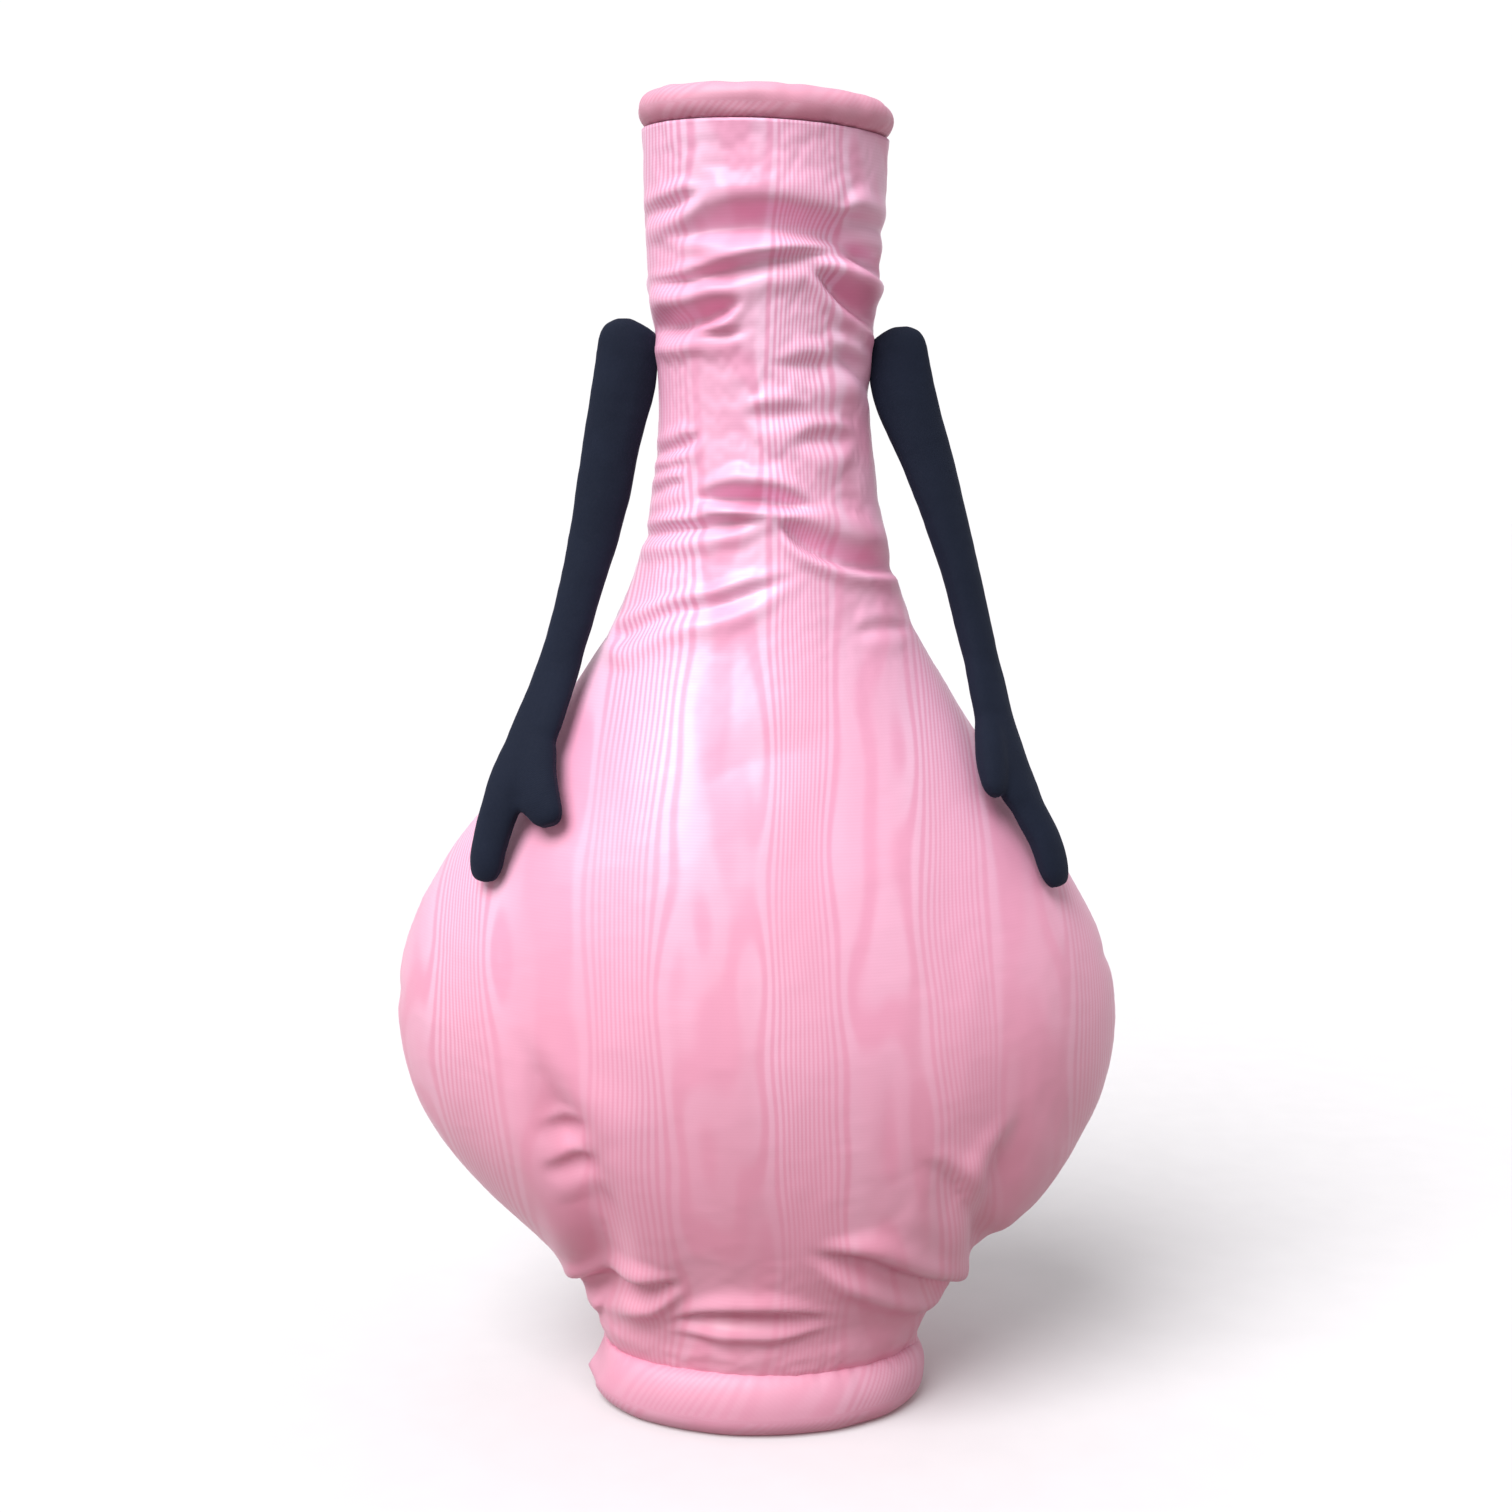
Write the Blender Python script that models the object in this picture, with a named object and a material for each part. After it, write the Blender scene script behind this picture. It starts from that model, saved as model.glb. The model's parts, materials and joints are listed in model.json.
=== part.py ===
"""Padded textile vase with two stuffed arms as handles.

A front and a back panel of moire fabric, each backed by wadding and a lining, meet at side
seams. A padded roll closes the mouth and another, round a stiff base, makes the foot. Two arms
of navy jersey hang from loops of thread at the sides of the neck.

Metres, +Z up, the front towards -Y, the origin under the middle of the foot.
"""
import bmesh
import bpy
import math
from mathutils import Matrix, Vector

MM = 0.001

# Overall form: height of a station, half width, half depth (all mm).
# The sections are lens shaped, because two flat panels are sewn edge to edge.
BODY_STATIONS = (
    (21.6, 75.2, 53.0),
    (40.0, 77.6, 54.5),
    (63.0, 93.7, 63.0),
    (102.0, 134.1, 79.0),
    (142.0, 160.1, 90.0),
    (182.0, 168.6, 95.0),
    (219.0, 163.3, 92.0),
    (257.0, 144.1, 83.5),
    (294.0, 117.4, 71.0),
    (332.0, 90.7, 58.0),
    (368.0, 68.9, 47.5),
    (405.0, 55.8, 40.5),
    (440.0, 50.3, 37.0),
    (470.0, 48.0, 35.5),
    (512.0, 51.6, 37.0),
    (547.0, 54.0, 39.0),
    (583.5, 55.2, 41.0),
)
# The soft body leans a little: height of a station, shift of its middle towards +X (mm).
LEAN_STATIONS = ((20.0, 2.0), (83.0, 5.0), (130.0, 2.0), (200.0, 0.0), (257.0, -1.6), (310.0, 0.8),
                 (360.0, 2.8), (405.0, 4.2), (500.0, 3.4), (600.0, 4.5))
LENS_POWER = 1.2            # 1 is an ellipse, 2 a pointed lens
PANEL_COLUMNS = 10          # steps across a panel, from seam to seam
SEAM_GAP = 0.3 * MM         # between the front and the back panels
MOUTH_TILT = -0.045         # slope of the mouth along +X
TILT_START = 440 * MM       # the slope fades to nothing at this height

# Layers of the wall, as distances in from the outer surface.
COVER_LAYER = (0.0, 1.2 * MM)
WADDING_LAYER = (1.5 * MM, 11.5 * MM)
LINING_LAYER = (11.8 * MM, 12.8 * MM)

# Rolls: centre line half width, half depth, centre x, centre height, tube radius.
MOUTH_ROLL = dict(half_width=48.6 * MM, half_depth=36.0 * MM, x=4.4 * MM, z=591.3 * MM,
                  radius=8.0 * MM, slope=MOUTH_TILT)
FOOT_ROLL = dict(half_width=68.0 * MM, half_depth=47.0 * MM, x=1.0 * MM, z=10.4 * MM,
                 radius=11.6 * MM, slope=0.0)
ROLL_SKIN = 1.2 * MM        # thickness of the bias strip round the cord
ROLL_FIT = 0.4 * MM         # between the strip and its cord
ROLL_SIDES = 8
ROLL_STEPS = 28

# Base: half width, half depth, underside height, thickness.
BASE_COVER = (56.0 * MM, 35.0 * MM, 16.6 * MM, 1.2 * MM)
BASE_BOARD = (58.4 * MM, 37.4 * MM, 18.1 * MM, 3.0 * MM)
BASE_LINING = (58.8 * MM, 36.5 * MM, 22.0 * MM, 1.0 * MM)

# One arm laid flat: distance from the shoulder, offset to the thumb side, half width,
# half thickness (mm). Both arms are cut from this pattern.
ARM_PATTERN = (
    (0.0, 0.5, 4.0, 3.0),
    (3.0, 0.5, 9.0, 6.0),
    (9.0, 0.3, 11.6, 7.8),
    (22.0, 0.0, 12.6, 8.5),
    (60.0, 0.0, 12.9, 8.6),
    (92.0, 0.0, 11.8, 8.1),
    (122.0, 0.0, 10.1, 7.5),
    (150.0, 0.0, 9.0, 6.9),
    (172.0, 0.0, 9.6, 6.5),
    (195.0, 0.0, 11.0, 6.3),
    (214.0, -0.4, 11.0, 6.1),
    (230.0, -0.6, 8.6, 5.9),
    (247.0, -0.2, 7.0, 5.6),
    (258.0, 0.0, 6.0, 5.0),
    (263.0, 0.0, 3.0, 2.6),
)
# The thumb along its own axis: distance, half width, half thickness (mm).
THUMB_PATTERN = ((-8.0, 4.0, 3.4), (0.0, 6.2, 5.2), (14.0, 6.8, 5.7), (23.0, 6.5, 5.5),
                 (29.0, 5.0, 4.2), (32.0, 2.2, 2.0))
THUMB_ROOT = (195.0 * MM, 3.0 * MM)
THUMB_ANGLE = math.radians(27)
ARM_SIDES = 12
JERSEY = 1.0 * MM
FILLING_FIT = 0.4 * MM

# How each arm hangs. The route runs from the shoulder to the fingertips (mm), and the twist
# brings the thumb edge forwards: share of the length, angle in degrees.
LEFT_ARM = dict(
    name="left_arm", inner=1, pivot=(-50.6, 0.0, 505.2),
    route=((-59.8, 0.0, 504.0), (-59.9, 0.0, 485.0), (-62.6, -0.5, 466.0), (-71.8, -5.0, 414.0),
           (-87.9, -19.0, 352.0), (-99.8, -36.0, 317.0), (-110.5, -45.5, 293.0),
           (-117.2, -49.0, 272.0), (-120.5, -50.5, 252.5)),
    twist=((0.0, 0.0), (0.45, 6.0), (0.7, 24.0), (1.0, 26.0)))
RIGHT_ARM = dict(
    name="right_arm", inner=-1, pivot=(57.4, 0.0, 502.6),
    route=((65.4, 0.0, 500.4), (66.6, 0.0, 480.0), (71.5, -0.5, 459.0), (83.2, -3.0, 423.0),
           (93.0, -8.0, 387.0), (101.0, -15.0, 351.5), (108.0, -24.0, 318.0),
           (117.5, -31.0, 291.0), (127.0, -34.0, 272.0), (133.4, -36.0, 251.0)),
    twist=((0.0, 0.0), (0.12, 8.0), (0.35, 50.0), (0.6, 62.0), (1.0, 62.0)))

# Thread loops on which each arm hangs.
STITCH_PLACES = (-3.2 * MM, 0.0, 3.2 * MM)
STITCH_RADIUS = 1.9 * MM
THREAD_RADIUS = 0.45 * MM

# Colour, roughness
MOIRE_PINK = ("moire_pink", (0.87, 0.42, 0.56, 1), 0.42)
LINING_COTTON = ("lining_cotton", (0.80, 0.72, 0.70, 1), 0.85)
WADDING_WHITE = ("wadding_white", (0.85, 0.85, 0.83, 1), 0.95)
CORD_COTTON = ("cord_cotton", (0.80, 0.78, 0.72, 1), 0.90)
BASE_CARD = ("base_card", (0.45, 0.38, 0.30, 1), 0.80)
NAVY_JERSEY = ("navy_jersey", (0.018, 0.026, 0.048, 1), 0.90)
NAVY_THREAD = ("navy_thread", (0.015, 0.02, 0.04, 1), 0.70)


# ---------------------------------------------------------------- scene and helpers

def clear_scene():
    for scene_object in list(bpy.data.objects):
        bpy.data.objects.remove(scene_object, do_unlink=True)


def new_collection(name):
    collection = bpy.data.collections.new(name)
    bpy.context.scene.collection.children.link(collection)
    return collection


def move_to(scene_object, collection):
    for old in list(scene_object.users_collection):
        old.objects.unlink(scene_object)
    collection.objects.link(scene_object)


def material(finish):
    name, colour, roughness = finish
    found = bpy.data.materials.get(name)
    if found:
        return found
    made = bpy.data.materials.new(name)
    made.use_nodes = True
    shader = made.node_tree.nodes["Principled BSDF"]
    shader.inputs["Base Color"].default_value = colour
    shader.inputs["Roughness"].default_value = roughness
    shader.inputs["Metallic"].default_value = 0.0
    made.diffuse_color = colour
    return made


def finish_piece(piece, name, finish, collection):
    """Names a piece, gives it its material and smooth faces, and files it."""
    piece.name = name
    piece.data.name = name
    piece.data.materials.clear()
    piece.data.materials.append(material(finish))
    piece.data.shade_smooth()
    piece.data.set_sharp_from_angle(angle=math.radians(40))
    move_to(piece, collection)
    return piece


def object_from_bmesh(name, shape, collection):
    bmesh.ops.recalc_face_normals(shape, faces=shape.faces)
    if shape.calc_volume(signed=True) < 0:
        bmesh.ops.reverse_faces(shape, faces=shape.faces)
    mesh = bpy.data.meshes.new(name)
    shape.to_mesh(mesh)
    shape.free()
    made = bpy.data.objects.new(name, mesh)
    collection.objects.link(made)
    return made


def evaluated_copy(source, name, collection):
    """A plain mesh of what a curve or a modified object evaluates to."""
    graph = bpy.context.evaluated_depsgraph_get()
    mesh = bpy.data.meshes.new_from_object(source.evaluated_get(graph))
    mesh.transform(source.matrix_world)
    shape = bmesh.new()
    shape.from_mesh(mesh)
    bpy.data.meshes.remove(mesh)
    bmesh.ops.remove_doubles(shape, verts=shape.verts, dist=0.000001)
    return object_from_bmesh(name, shape, collection)


def add_boolean(target, other, operation):
    cut = target.modifiers.new(operation.lower(), "BOOLEAN")
    cut.operation = operation
    cut.solver = "EXACT"
    cut.object = other
    other.hide_render = True
    other.display_type = "WIRE"
    return cut


def smooth_value(stations, place, column=1):
    """A cubic curve through the stations, read at a place along them."""
    places = [station[0] for station in stations]
    values = [station[column] for station in stations]
    if place <= places[0]:
        return values[0]
    if place >= places[-1]:
        return values[-1]
    index = max(i for i, start in enumerate(places) if start <= place)

    def slope(i):
        low = max(i - 1, 0)
        high = min(i + 1, len(places) - 1)
        return (values[high] - values[low]) / (places[high] - places[low])

    span = places[index + 1] - places[index]
    t = (place - places[index]) / span
    start_weight = 2 * t ** 3 - 3 * t ** 2 + 1
    end_weight = 3 * t ** 2 - 2 * t ** 3
    start_slope = t ** 3 - 2 * t ** 2 + t
    end_slope = t ** 3 - t ** 2
    return (start_weight * values[index] + end_weight * values[index + 1]
            + span * (start_slope * slope(index) + end_slope * slope(index + 1)))


# ---------------------------------------------------------------- the padded body

def lean(height):
    return smooth_value(LEAN_STATIONS, height / MM) * MM


def mouth_slope(height):
    top = BODY_STATIONS[-1][0] * MM
    return MOUTH_TILT * max(0.0, (height - TILT_START) / (top - TILT_START))


def panel_point(station, angle, inset, side):
    """A point of a panel: the angle runs from -90 degrees at one seam to 90 at the other."""
    height, half_width, half_depth = (value * MM for value in station)
    across = (half_width - inset) * math.sin(angle)
    depth = (half_depth - inset) * max(math.cos(angle), 0.0) ** LENS_POWER
    return (lean(height) + across, side * (SEAM_GAP / 2 + depth),
            height + mouth_slope(height) * across)


def half_shell(name, layer, side, finish, collection):
    """One layer of the front (side -1) or back (side 1) panel, as a closed half shell."""
    shape = bmesh.new()
    surfaces = []
    for inset in layer:
        rows = []
        for station in BODY_STATIONS:
            angles = [math.pi * (step / PANEL_COLUMNS - 0.5) for step in range(PANEL_COLUMNS + 1)]
            rows.append([shape.verts.new(panel_point(station, a, inset, side)) for a in angles])
        surfaces.append(rows)
    last_row = len(BODY_STATIONS) - 1
    for rows in surfaces:
        for row in range(last_row):
            for column in range(PANEL_COLUMNS):
                shape.faces.new((rows[row][column], rows[row][column + 1],
                                 rows[row + 1][column + 1], rows[row + 1][column]))
    outer, inner = surfaces
    for column in (0, PANEL_COLUMNS):
        for row in range(last_row):
            shape.faces.new((outer[row][column], outer[row + 1][column],
                             inner[row + 1][column], inner[row][column]))
    for row in (0, last_row):
        for column in range(PANEL_COLUMNS):
            shape.faces.new((outer[row][column], outer[row][column + 1],
                             inner[row][column + 1], inner[row][column]))
    panel = object_from_bmesh(name, shape, collection)
    return finish_piece(panel, name, finish, collection)


def build_body(collection):
    for side_name, side in (("front", -1), ("back", 1)):
        half_shell(side_name + "_cover", COVER_LAYER, side, MOIRE_PINK, collection)
        half_shell(side_name + "_wadding", WADDING_LAYER, side, WADDING_WHITE, collection)
        half_shell(side_name + "_lining", LINING_LAYER, side, LINING_COTTON, collection)


# ---------------------------------------------------------------- the rolls

def ring_path(name, roll, cutters):
    """The closed oval centre line of a roll, as a curve."""
    curve = bpy.data.curves.new(name, "CURVE")
    curve.dimensions = "3D"
    curve.twist_mode = "Z_UP"
    spline = curve.splines.new("POLY")
    spline.points.add(ROLL_STEPS - 1)
    spline.use_cyclic_u = True
    for step, point in enumerate(spline.points):
        turn = 2 * math.pi * step / ROLL_STEPS
        x = roll["half_width"] * math.cos(turn)
        point.co = (roll["x"] + x, roll["half_depth"] * math.sin(turn),
                    roll["z"] + roll["slope"] * x, 1)
    path = bpy.data.objects.new(name, curve)
    cutters.objects.link(path)
    return path


def section_curve(name, points, cutters):
    """A closed flat outline, swept along a ring as its bevel."""
    curve = bpy.data.curves.new(name, "CURVE")
    curve.dimensions = "2D"
    spline = curve.splines.new("POLY")
    spline.points.add(len(points) - 1)
    spline.use_cyclic_u = True
    for point, place in zip(spline.points, points):
        point.co = (place[0], place[1], 0, 1)
    outline = bpy.data.objects.new(name, curve)
    cutters.objects.link(outline)
    return outline


def circle_points(radius, start, turn, count):
    angles = [start + turn * step / (count - 1) for step in range(count)]
    return [(radius * math.cos(angle), radius * math.sin(angle)) for angle in angles]


def sweep_ring(name, roll, points, finish, collection, cutters):
    path = ring_path(name + "_path", roll, cutters)
    outline = section_curve(name + "_section", points, cutters)
    path.data.bevel_mode = "OBJECT"
    path.data.bevel_object = outline
    bpy.context.view_layer.update()
    ring = evaluated_copy(path, name, collection)
    bpy.data.objects.remove(path, do_unlink=True)
    bpy.data.objects.remove(outline, do_unlink=True)
    return finish_piece(ring, name, finish, collection)


def build_roll(name, roll, seam_angle, collection, cutters):
    """A strip rolled round a cord. The strip is open along its seam with the body."""
    open_angle = 2 * math.pi / ROLL_SIDES
    start = seam_angle + open_angle / 2
    turn = 2 * math.pi - open_angle
    outer = circle_points(roll["radius"], start, turn, ROLL_SIDES)
    inner = circle_points(roll["radius"] - ROLL_SKIN, start, turn, ROLL_SIDES)
    strip = outer + inner[::-1]
    cover = sweep_ring(name + "_cover", roll, strip, MOIRE_PINK, collection, cutters)
    cord_radius = roll["radius"] - ROLL_SKIN - ROLL_FIT
    cord = circle_points(cord_radius, start, turn, ROLL_SIDES)
    sweep_ring(name + "_cord", roll, cord, CORD_COTTON, collection, cutters)
    return cover


def flatten_underside(piece, cutters):
    """The weight of the vase presses the foot flat where it rests."""
    bpy.ops.mesh.primitive_cube_add(size=1)
    floor = bpy.context.object
    floor.name = "floor_cutter"
    floor.data.transform(Matrix.Diagonal((0.4, 0.4, 0.1, 1)))
    floor.location = (0, 0, -0.05)
    move_to(floor, cutters)
    add_boolean(piece, floor, "DIFFERENCE")


def build_rolls(collection, cutters):
    build_roll("mouth_roll", MOUTH_ROLL, math.radians(-90), collection, cutters)
    foot = build_roll("foot_roll", FOOT_ROLL, math.radians(90), collection, cutters)
    flatten_underside(foot, cutters)


# ---------------------------------------------------------------- the base

def oval_plate(name, size, finish, collection):
    half_width, half_depth, underside, thickness = size
    bpy.ops.mesh.primitive_cylinder_add(vertices=28, radius=1, depth=1)
    plate = bpy.context.object
    plate.data.transform(Matrix.Diagonal((half_width, half_depth, thickness, 1)))
    plate.location = (FOOT_ROLL["x"], 0, underside + thickness / 2)
    return finish_piece(plate, name, finish, collection)


def build_base(collection):
    oval_plate("base_cover", BASE_COVER, MOIRE_PINK, collection)
    oval_plate("base_board", BASE_BOARD, BASE_CARD, collection)
    oval_plate("base_lining", BASE_LINING, LINING_COTTON, collection)


# ---------------------------------------------------------------- the arms

def flat_loft(name, sections, placing, collection):
    """Ovals lofted along X: each section is place, offset, half width, half thickness."""
    shape = bmesh.new()
    rings = []
    for place, offset, half_width, half_thickness in sections:
        ring = []
        for step in range(ARM_SIDES):
            turn = 2 * math.pi * step / ARM_SIDES
            ring.append(shape.verts.new((place, offset + half_width * math.cos(turn),
                                         half_thickness * math.sin(turn))))
        rings.append(ring)
    for first, second in zip(rings, rings[1:]):
        for step in range(ARM_SIDES):
            following = (step + 1) % ARM_SIDES
            shape.faces.new((first[step], first[following], second[following], second[step]))
    shape.faces.new(rings[0][::-1])
    shape.faces.new(rings[-1])
    shape.transform(placing)
    return object_from_bmesh(name, shape, collection)


def inset_sections(sections, inset):
    """The same run of sections, made smaller all round by the inset."""
    count = len(sections)
    smaller = []
    for index, (place, offset, half_width, half_thickness) in enumerate(sections):
        end_shift = inset * (index == 0) - inset * (index == count - 1)
        smaller.append((place + end_shift, offset, half_width - inset, half_thickness - inset))
    return smaller


def flat_arm(name, inset, cutters):
    """The arm and its thumb laid flat, joined into one body."""
    arm_sections = [tuple(value * MM for value in row) for row in ARM_PATTERN]
    thumb_sections = [(place * MM, 0.0, width * MM, thickness * MM)
                      for place, width, thickness in THUMB_PATTERN]
    thumb_place = (Matrix.Translation((THUMB_ROOT[0], THUMB_ROOT[1], 0))
                   @ Matrix.Rotation(THUMB_ANGLE, 4, "Z"))
    arm = flat_loft(name + "_form", inset_sections(arm_sections, inset), Matrix(), cutters)
    thumb = flat_loft(name + "_thumb", inset_sections(thumb_sections, inset), thumb_place, cutters)
    add_boolean(arm, thumb, "UNION")
    joined = evaluated_copy(arm, name, cutters)
    bpy.data.objects.remove(arm, do_unlink=True)
    bpy.data.objects.remove(thumb, do_unlink=True)
    return joined


def half_block(name, side, cutters):
    """A block that takes away everything on one side of the arm's middle plane."""
    bpy.ops.mesh.primitive_cube_add(size=1)
    block = bpy.context.object
    block.name = name
    block.data.transform(Matrix.Diagonal((0.4, 0.2, 0.05, 1)))
    block.location = (0.13, 0, side * (0.025 - SEAM_GAP / 2))
    move_to(block, cutters)
    return block


def flat_jersey(name, side, cutters):
    """The front (1) or back (-1) half of the jersey cover, laid flat."""
    outer = flat_arm(name + "_outer", 0.0, cutters)
    hollow = flat_arm(name + "_hollow", JERSEY, cutters)
    block = half_block(name + "_block", -side, cutters)
    add_boolean(outer, hollow, "DIFFERENCE")
    add_boolean(outer, block, "DIFFERENCE")
    half = evaluated_copy(outer, name, cutters)
    for helper in (outer, hollow, block):
        bpy.data.objects.remove(helper, do_unlink=True)
    return half


class Route:
    """The line that an arm follows, with its thumb side and its front at each place."""

    def __init__(self, arm):
        self.inner = arm["inner"]
        self.twist = arm["twist"]
        corners = [Vector(point) * MM for point in arm["route"]]
        places = [0.0]
        for first, second in zip(corners, corners[1:]):
            places.append(places[-1] + (second - first).length)
        self.length = places[-1]
        self.stations = [(place, *corner) for place, corner in zip(places, corners)]

    def point(self, place):
        return Vector(smooth_value(self.stations, place, column) for column in (1, 2, 3))

    def frame(self, place):
        step = 2 * MM
        low = max(place - step, 0.0)
        high = min(place + step, self.length)
        along = (self.point(high) - self.point(low)).normalized()
        inwards = Vector((self.inner, 0, 0))
        inwards = (inwards - along * inwards.dot(along)).normalized()
        front = along.cross(inwards) * self.inner
        angle = math.radians(smooth_value(self.twist, place / self.length))
        thumb_side = inwards * math.cos(angle) + front * math.sin(angle)
        face_side = front * math.cos(angle) - inwards * math.sin(angle)
        return along, thumb_side, face_side

    def place(self, flat):
        at = min(max(flat.x, 0.0), self.length)
        along, thumb_side, face_side = self.frame(at)
        return self.point(at) + along * (flat.x - at) + thumb_side * flat.y + face_side * flat.z


def hang(flat, name, arm, finish, pivot, collection):
    """Bends a flat piece along its arm's route, with its origin on the shoulder's axis."""
    route = Route(arm)
    axis_point = Vector(arm["pivot"]) * MM
    shape = bmesh.new()
    shape.from_mesh(flat.data)
    bmesh.ops.triangulate(shape, faces=shape.faces)
    for vertex in shape.verts:
        vertex.co = route.place(vertex.co) - axis_point
    bpy.data.objects.remove(flat, do_unlink=True)
    piece = object_from_bmesh(name, shape, collection)
    piece.parent = pivot
    return finish_piece(piece, name, finish, collection)


def build_stitches(arm, pivot, collection):
    for number, place in enumerate(STITCH_PLACES, start=1):
        bpy.ops.mesh.primitive_torus_add(
            major_radius=STITCH_RADIUS, minor_radius=THREAD_RADIUS,
            major_segments=10, minor_segments=6, rotation=(math.pi / 2, 0, 0))
        loop = bpy.context.object
        loop.location = (0, place, 0)
        loop.parent = pivot
        name = "{}_stitch_{}".format(arm["name"].replace("arm", "shoulder"), number)
        finish_piece(loop, name, NAVY_THREAD, collection)


def build_arm(arm, collection, cutters):
    name = arm["name"]
    pivot = bpy.data.objects.new(name + "_pivot", None)
    pivot.location = Vector(arm["pivot"]) * MM
    collection.objects.link(pivot)
    for side_name, side in (("front", 1), ("back", -1)):
        half_name = "{}_{}_cover".format(name, side_name)
        half = flat_jersey(half_name + "_flat", side, cutters)
        hang(half, half_name, arm, NAVY_JERSEY, pivot, collection)
    filling = flat_arm(name + "_filling_flat", JERSEY + FILLING_FIT, cutters)
    hang(filling, name + "_filling", arm, WADDING_WHITE, pivot, collection)
    build_stitches(arm, pivot, collection)


# ---------------------------------------------------------------- everything

def main():
    clear_scene()
    collection = new_collection("padded_textile_vase")
    cutters = new_collection("cutters")
    build_body(collection)
    build_rolls(collection, cutters)
    build_base(collection)
    build_arm(LEFT_ARM, collection, cutters)
    build_arm(RIGHT_ARM, collection, cutters)


main()
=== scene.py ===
"""Looks of the padded textile vase: moire panels with folds, bias-cut rolls and jersey arms."""
import json
import math
import bmesh
import bpy
import numpy as np
from mathutils import Matrix, Vector, noise

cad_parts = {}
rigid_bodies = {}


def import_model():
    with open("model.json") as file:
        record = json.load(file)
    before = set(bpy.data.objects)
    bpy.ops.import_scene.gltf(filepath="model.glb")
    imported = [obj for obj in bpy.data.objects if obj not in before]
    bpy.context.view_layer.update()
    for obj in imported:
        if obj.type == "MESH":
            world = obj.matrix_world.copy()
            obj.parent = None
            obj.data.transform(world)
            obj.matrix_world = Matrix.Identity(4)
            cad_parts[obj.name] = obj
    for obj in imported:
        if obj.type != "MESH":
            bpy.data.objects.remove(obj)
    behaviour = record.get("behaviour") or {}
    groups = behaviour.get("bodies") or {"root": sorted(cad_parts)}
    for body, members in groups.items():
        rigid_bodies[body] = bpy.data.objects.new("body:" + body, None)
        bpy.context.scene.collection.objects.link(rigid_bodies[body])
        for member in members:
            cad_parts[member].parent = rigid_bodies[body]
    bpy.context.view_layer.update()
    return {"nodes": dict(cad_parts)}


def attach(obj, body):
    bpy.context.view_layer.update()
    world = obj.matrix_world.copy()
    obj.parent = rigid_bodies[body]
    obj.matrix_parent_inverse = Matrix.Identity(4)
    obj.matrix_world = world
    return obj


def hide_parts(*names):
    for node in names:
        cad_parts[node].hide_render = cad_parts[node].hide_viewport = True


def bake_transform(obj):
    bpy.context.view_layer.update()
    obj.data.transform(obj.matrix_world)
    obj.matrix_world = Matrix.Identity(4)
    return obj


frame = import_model()

MM = 0.001

# ---- form of the body (mm)

# Height of a station, half width, half depth, as in the CAD model.
BODY_STATIONS = (
    (21.6, 75.2, 53),
    (40, 77.6, 54.5),
    (63, 93.7, 63),
    (102, 134.1, 79),
    (142, 160.1, 90),
    (182, 168.6, 95),
    (219, 163.3, 92),
    (257, 144.1, 83.5),
    (294, 117.4, 71),
    (332, 90.7, 58),
    (368, 68.9, 47.5),
    (405, 55.8, 40.5),
    (440, 50.3, 37),
    (470, 48, 35.5),
    (512, 51.6, 37),
    (547, 54, 39),
    (583.5, 55.2, 41),
)
LEAN_STATIONS = ((20, 2), (83, 5), (130, 2), (200, 0), (257, -1.6), (310, 0.8),
                 (360, 2.8), (405, 4.2), (500, 3.4), (600, 4.5))
LENS_POWER = 1.2
MOUTH_TILT = -0.045
TILT_START = 440.0
BODY_TOP = BODY_STATIONS[-1][0]
BODY_BOTTOM = BODY_STATIONS[0][0]

MOUTH_ROLL = dict(half_width=48.6, half_depth=36, x=4.4, z=591.3, radius=8, slope=MOUTH_TILT)
FOOT_ROLL = dict(half_width=68, half_depth=47, x=1, z=10.4, radius=11.6, slope=0)

ROWS = 320  # quads up a panel
COLUMNS = 160  # quads across a panel
COVER_THICKNESS = 0.8  # mm
WADDING_INSET = 4.5  # mm, from the cover's plain outer face
WADDING_DEEPEST = 10.5  # mm
WADDING_REACH = 6  # quads around a point whose folds the wadding keeps clear of
WADDING_CLEARANCE = 1.5  # mm, kept between a fold and the wadding
WADDING_STEP = 4  # quads of the cover to one of the wadding
LINING_INSETS = (11.9, 12.8)
LINING_CLEARANCE = 0.3  # mm, from the wadding's inner face
SEAM_GAP = 0.02  # mm, half the gap between the panels at the side seams


def smooth_values(stations, places, column=1):
    """A cubic curve through the stations, read at an array of places."""
    table = np.array([(row[0], row[column]) for row in stations], float)
    x, y = table[:, 0], table[:, 1]
    count = len(x)
    low = np.maximum(np.arange(count) - 1, 0)
    high = np.minimum(np.arange(count) + 1, count - 1)
    slope = (y[high] - y[low]) / (x[high] - x[low])
    at = np.clip(np.asarray(places, float), x[0], x[-1])
    i = np.clip(np.searchsorted(x, at, side="right") - 1, 0, count - 2)
    span = x[i + 1] - x[i]
    t = (at - x[i]) / span
    return ((2 * t ** 3 - 3 * t ** 2 + 1) * y[i] + (3 * t ** 2 - 2 * t ** 3) * y[i + 1]
            + span * ((t ** 3 - 2 * t ** 2 + t) * slope[i] + (t ** 3 - t ** 2) * slope[i + 1]))


def smoothstep(low, high, value):
    t = np.clip((value - low) / (high - low), 0, 1)
    return t * t * (3 - 2 * t)


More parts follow.
